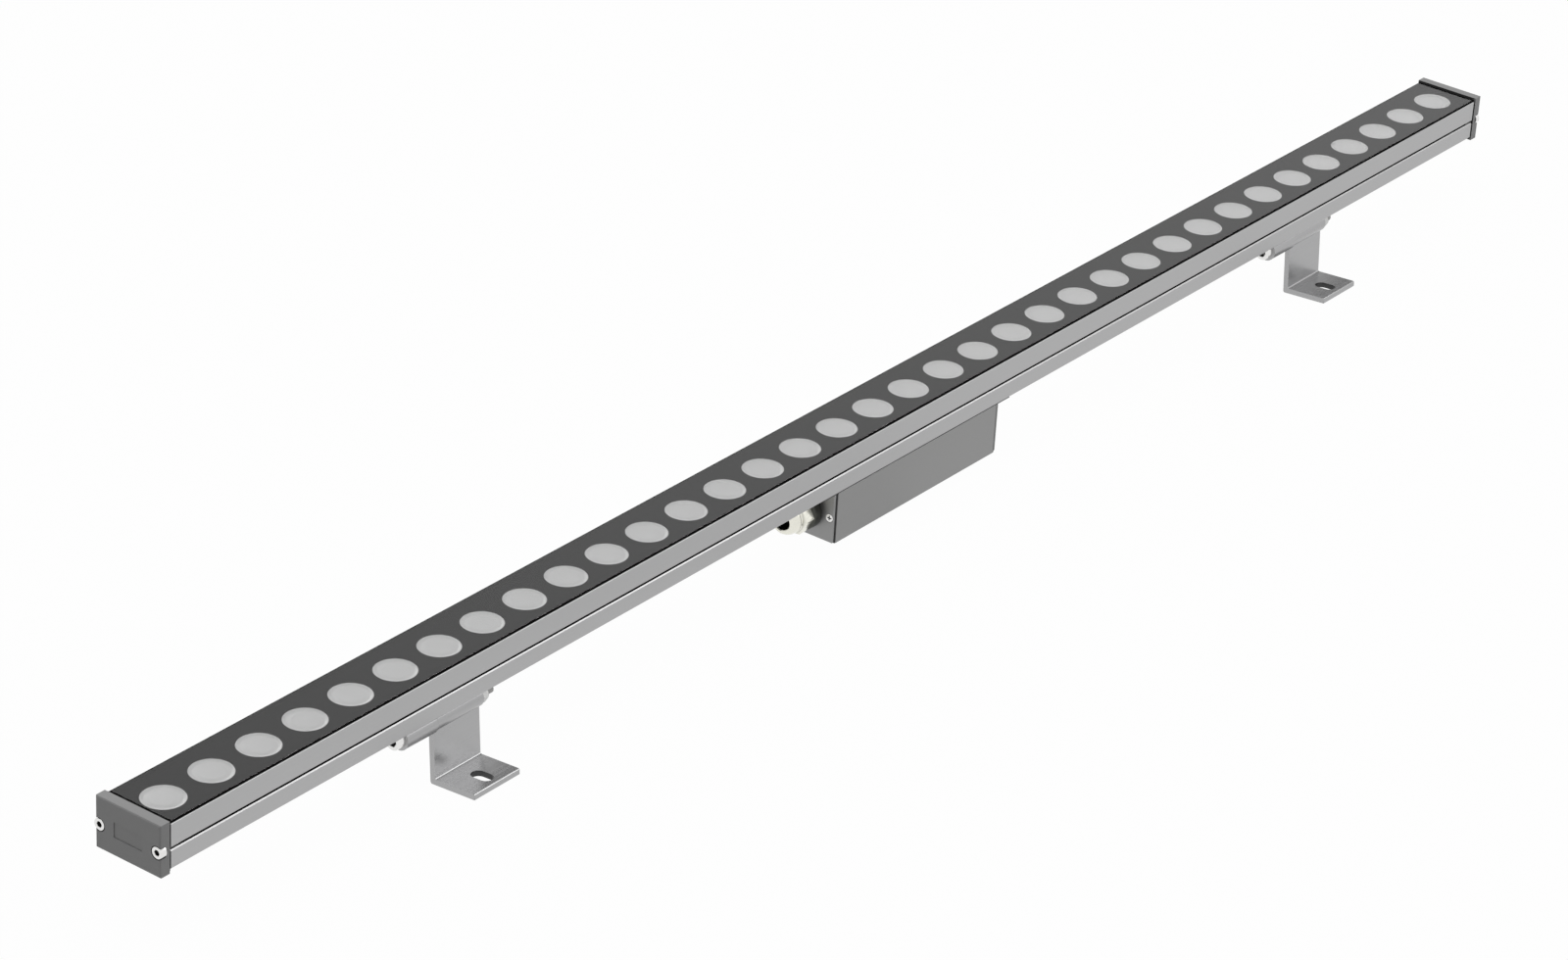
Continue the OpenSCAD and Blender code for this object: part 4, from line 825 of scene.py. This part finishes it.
def cross_screw(shank_r, length, head_r, head_h, fine=41, segments=72):
    """A countersunk screw along +Z with its face at 0. Rings of the face run from the rim to the middle.
    The cross takes away depth where a point lies within half an arm's width of either arm and inside the
    arms' reach. The same share paints shade into the cross."""
    turn = np.arange(segments) / segments * 2 * np.pi
    r = np.linspace(1, 0, fine)[:, None] * (head_r - EDGE_H)
    x, y = r * np.cos(turn + np.pi / 4), r * np.sin(turn + np.pi / 4)
    across, along = np.minimum(np.abs(x), np.abs(y)), np.maximum(np.abs(x), np.abs(y))
    arm, reach = 0.15 * head_r, 0.64 * head_r
    side_slope, end_slope = 0.06 * head_r, 0.1 * head_r
    inside = np.clip((arm - across) / side_slope, 0, 1) * np.clip((reach - along) / end_slope, 0, 1)
    face = np.stack([x, y, -inside * head_h * CROSS_DEPTH * (1 - 0.5 * along / reach)], axis=-1)
    shank = [(0.0, -length), (shank_r, -length), (shank_r, -head_h), (head_r, -EDGE_H)]
    circle = np.column_stack([np.cos(turn + np.pi / 4), np.sin(turn + np.pi / 4)])
    low = np.stack([np.column_stack([q * circle, h + 0 * turn]) for q, h in shank])
    grid = np.concatenate([low, face])
    return grid, grid_faces(len(grid), segments), np.concatenate([np.zeros((len(shank), segments)), inside])


BOX_MID_Z, BOX_SCREW_Y = -35.55, 13.6
box_screw = cross_screw(shank_r=1.4, length=10, head_r=1.98, head_h=1.125)
box_screws = [aim(box_screw, direction, (x, y, BOX_MID_Z)) for y in (-BOX_SCREW_Y, BOX_SCREW_Y)
              for direction, x in (("-x", BOX_X - BOX_L / 2), ("+x", BOX_X + BOX_L / 2))]
make_piece("box_screw_set", joined(box_screws), "lamp", STEEL, ["driver_screws"], crease=30)

# %% [markdown]
# ## The cable gland
# A dark flange sits on the box's end. The cap nut screwed on it starts as a hexagon and ends as a dome with
# an open mouth, in which the black seal shows. Cylinders and a hexagon could be joined for it, but as one
# ring profile, with the hexagon's share falling to 0 at the dome, the flats run out softly.

# %% The gland's flange and cap nut
GLAND_X = BOX_X - BOX_L / 2
FLANGE_T, NUT_L, DOME_L = 5.2, 5.8, 7.0
SEAL_R, NECK_R, THROUGH_R, COLLAR_R, COLLAR_TOP_R = 4.4, 5.4, 6.0, 9.2, 8.2
THROUGH_L, COLLAR_L = 5.0, 4.4
flange_corners = [(SEAL_R, -THROUGH_L), (THROUGH_R, -THROUGH_L), (THROUGH_R, 0), (COLLAR_R, 0),
                  (COLLAR_R, COLLAR_L), (COLLAR_TOP_R, FLANGE_T), (NECK_R, FLANGE_T),
                  (NECK_R, FLANGE_T + NUT_L), (SEAL_R, FLANGE_T + NUT_L), (SEAL_R, -THROUGH_L)]
flange = turned(rounded_profile(flange_corners, radius=0.5, steps=5), segments=80)
make_piece("gland_flange", aim((*flange, 0.0), "-x", (GLAND_X, 0, BOX_MID_Z)), "lamp",
           GLAND_DARK, ["gland_body"])

BORE_R, HEX_R, DOME_R, RING_R, MOUTH_R = 5.5, 8.0, 7.6, 7.3, 4.2
# The last number of each ring is painted shade: a little under the dome's shoulder, more in its fine groove,
# and most inside the mouth.
nut_rings = [(BORE_R, 0, 0, 0, 0), (HEX_R - 0.1, 0, 0, 0, 0), (HEX_R, 0.05, 1, 0, 0),
             (HEX_R, NUT_L - 0.9, 1, 0, 0), (HEX_R - 0.1, NUT_L - 0.3, 0.7, 0, 0),
             (7.75, NUT_L, 0.1, 0, 0.2), (DOME_R, NUT_L + 0.2, 0, 0, 0.3), (DOME_R, NUT_L + 1.6, 0, 0, 0),
             (RING_R, NUT_L + 1.8, 0, 0, 0.5), (RING_R, NUT_L + 2.1, 0, 0, 0.5), (7.5, NUT_L + 2.3, 0, 0, 0),
             (7.25, NUT_L + 4.2, 0, 0, 0), (6.7, NUT_L + 5.7, 0, 0, 0), (6.1, NUT_L + 6.6, 0, 0, 0),
             (5.6, NUT_L + DOME_L, 0, 0, 0), (4.7, NUT_L + DOME_L, 0, 0, 0),
             (MOUTH_R, NUT_L + 6.6, 0, 0, 0.5), (MOUTH_R, NUT_L + 0.05, 0, 0, 1),
             (BORE_R, NUT_L, 0, 0, 1), (BORE_R, 0, 0, 0, 0)]
gland_cap = aim(screw_surface(nut_rings, segments=96), "-x", (GLAND_X - FLANGE_T, 0, BOX_MID_Z))
make_piece("gland_cap", gland_cap, "lamp", NICKEL, ["gland_cap_nut"], crease=28)

# %% [markdown]
# ## Camera, floor and light
# The camera stands off the lamp's near end and above it, with a long lens. A white page could be had from
# strong lamps, but they would bleach the metal. So the floor and the world look white only to the camera
# and in reflections, the lamps stay plain, and the floor still darkens a little under the lamp.

# %% Camera
FOCAL_PX, IMAGE_W = 5177.5, 1600
camera_data = bpy.data.cameras.new("camera")
camera_data.sensor_width = 36.0
camera_data.lens = FOCAL_PX / IMAGE_W * camera_data.sensor_width
camera = bpy.data.objects.new("camera", camera_data)
bpy.context.scene.collection.objects.link(camera)
bpy.context.scene.camera = camera
heading, dip = math.radians(-52.262), math.radians(25.361)
look = Vector((-math.sin(heading) * math.cos(dip), math.cos(heading) * math.cos(dip), -math.sin(dip)))
camera.location = Vector((-1.7210, -1.2601, 1.0264))
camera.rotation_euler = look.to_track_quat("-Z", "Y").to_euler()
camera_data.clip_end = 100.0
print("camera:", tuple(camera.location), "lens:", round(camera_data.lens, 2))

# %% Floor that looks white and keeps a soft shadow
FLOOR_WHITE = 0.98


def seen_share(tree, amount):
    """amount for rays that see a thing straight, mirrored or through glass, and 0 once a dull surface has
    scattered them."""
    path = tree.nodes.new("ShaderNodeLightPath")
    either = math_node(tree, "MAXIMUM", path.outputs["Is Camera Ray"], path.outputs["Is Glossy Ray"])
    any_of = math_node(tree, "MAXIMUM", either, path.outputs["Is Transmission Ray"])
    unscattered = math_node(tree, "LESS_THAN", path.outputs["Diffuse Depth"], 0.5)
    return math_node(tree, "MULTIPLY", math_node(tree, "MULTIPLY", any_of, unscattered), amount)


def build_floor():
    """A large flat sheet, diffuse for light and mostly plain white for the rays that see it. From below it
    is clear, so that the lamp's underside can be looked at."""
    half, gap = 8.0, 0.0004
    mesh = bpy.data.meshes.new("floor")
    corners = [(-half, -half, 0), (half, -half, 0), (half, half, 0), (-half, half, 0)]
    mesh.from_pydata(corners, [], [(0, 1, 2, 3)])
    floor = bpy.data.objects.new("floor", mesh)
    bpy.context.scene.collection.objects.link(floor)
    floor.location.z = -gap
    material = bpy.data.materials.new("floor_white")
    material.use_nodes = True
    tree = material.node_tree
    shader = tree.nodes["Principled BSDF"]
    shader.inputs["Base Color"].default_value = (0.5, 0.5, 0.5, 1)
    shader.inputs["Roughness"].default_value = 1.0
    shader.inputs["Specular IOR Level"].default_value = 0.0
    glow = tree.nodes.new("ShaderNodeEmission")
    mix = tree.nodes.new("ShaderNodeMixShader")
    tree.links.new(seen_share(tree, FLOOR_WHITE), mix.inputs["Fac"])
    tree.links.new(shader.outputs["BSDF"], mix.inputs[1])
    tree.links.new(glow.outputs["Emission"], mix.inputs[2])
    clear = tree.nodes.new("ShaderNodeBsdfTransparent")
    side = tree.nodes.new("ShaderNodeNewGeometry")
    one_way = tree.nodes.new("ShaderNodeMixShader")
    tree.links.new(side.outputs["Backfacing"], one_way.inputs["Fac"])
    tree.links.new(mix.outputs["Shader"], one_way.inputs[1])
    tree.links.new(clear.outputs["BSDF"], one_way.inputs[2])
    tree.links.new(one_way.outputs["Shader"], tree.nodes["Material Output"].inputs["Surface"])
    mesh.materials.append(material)


build_floor()

# %% World and lamps
WORLD_LIGHT = 0.45


def build_world():
    """A plain white world: full strength where it is seen or mirrored, and a soft fill everywhere else."""
    world = bpy.data.worlds.new("studio")
    bpy.context.scene.world = world
    world.use_nodes = True
    tree = world.node_tree
    background = tree.nodes["Background"]
    background.inputs["Color"].default_value = (1, 1, 1, 1)
    extra = seen_share(tree, 1.0 - WORLD_LIGHT)
    tree.links.new(math_node(tree, "ADD", extra, WORLD_LIGHT), background.inputs["Strength"])


def soft_lamp(name, azimuth, elevation, size, radiance, distance=3.0):
    """A square area lamp at a direction in degrees, seen from the lamp's middle. Its power follows from how
    bright its face is to look: four times the area times the radiance. It is not seen through glass,
    because light that falls in through the glass already comes by the shadow rays."""
    data = bpy.data.lights.new(name, "AREA")
    data.size = size
    data.energy = 4 * size * size * radiance
    lamp = bpy.data.objects.new(name, data)
    bpy.context.scene.collection.objects.link(lamp)
    a, e = math.radians(azimuth), math.radians(elevation)
    lamp.location = Vector((math.cos(a) * math.cos(e), math.sin(a) * math.cos(e), math.sin(e))) * distance
    lamp.rotation_euler = (-lamp.location).to_track_quat("-Z", "Y").to_euler()
    lamp.visible_transmission = False


build_world()
soft_lamp("right_front", azimuth=312, elevation=31.5, size=1.3, radiance=2.0)
soft_lamp("left_back", azimuth=62, elevation=24, size=0.9, radiance=3.0)
soft_lamp("overhead", azimuth=230, elevation=84, size=2.4, radiance=1.8)
bpy.context.scene.view_settings.view_transform = "Standard"
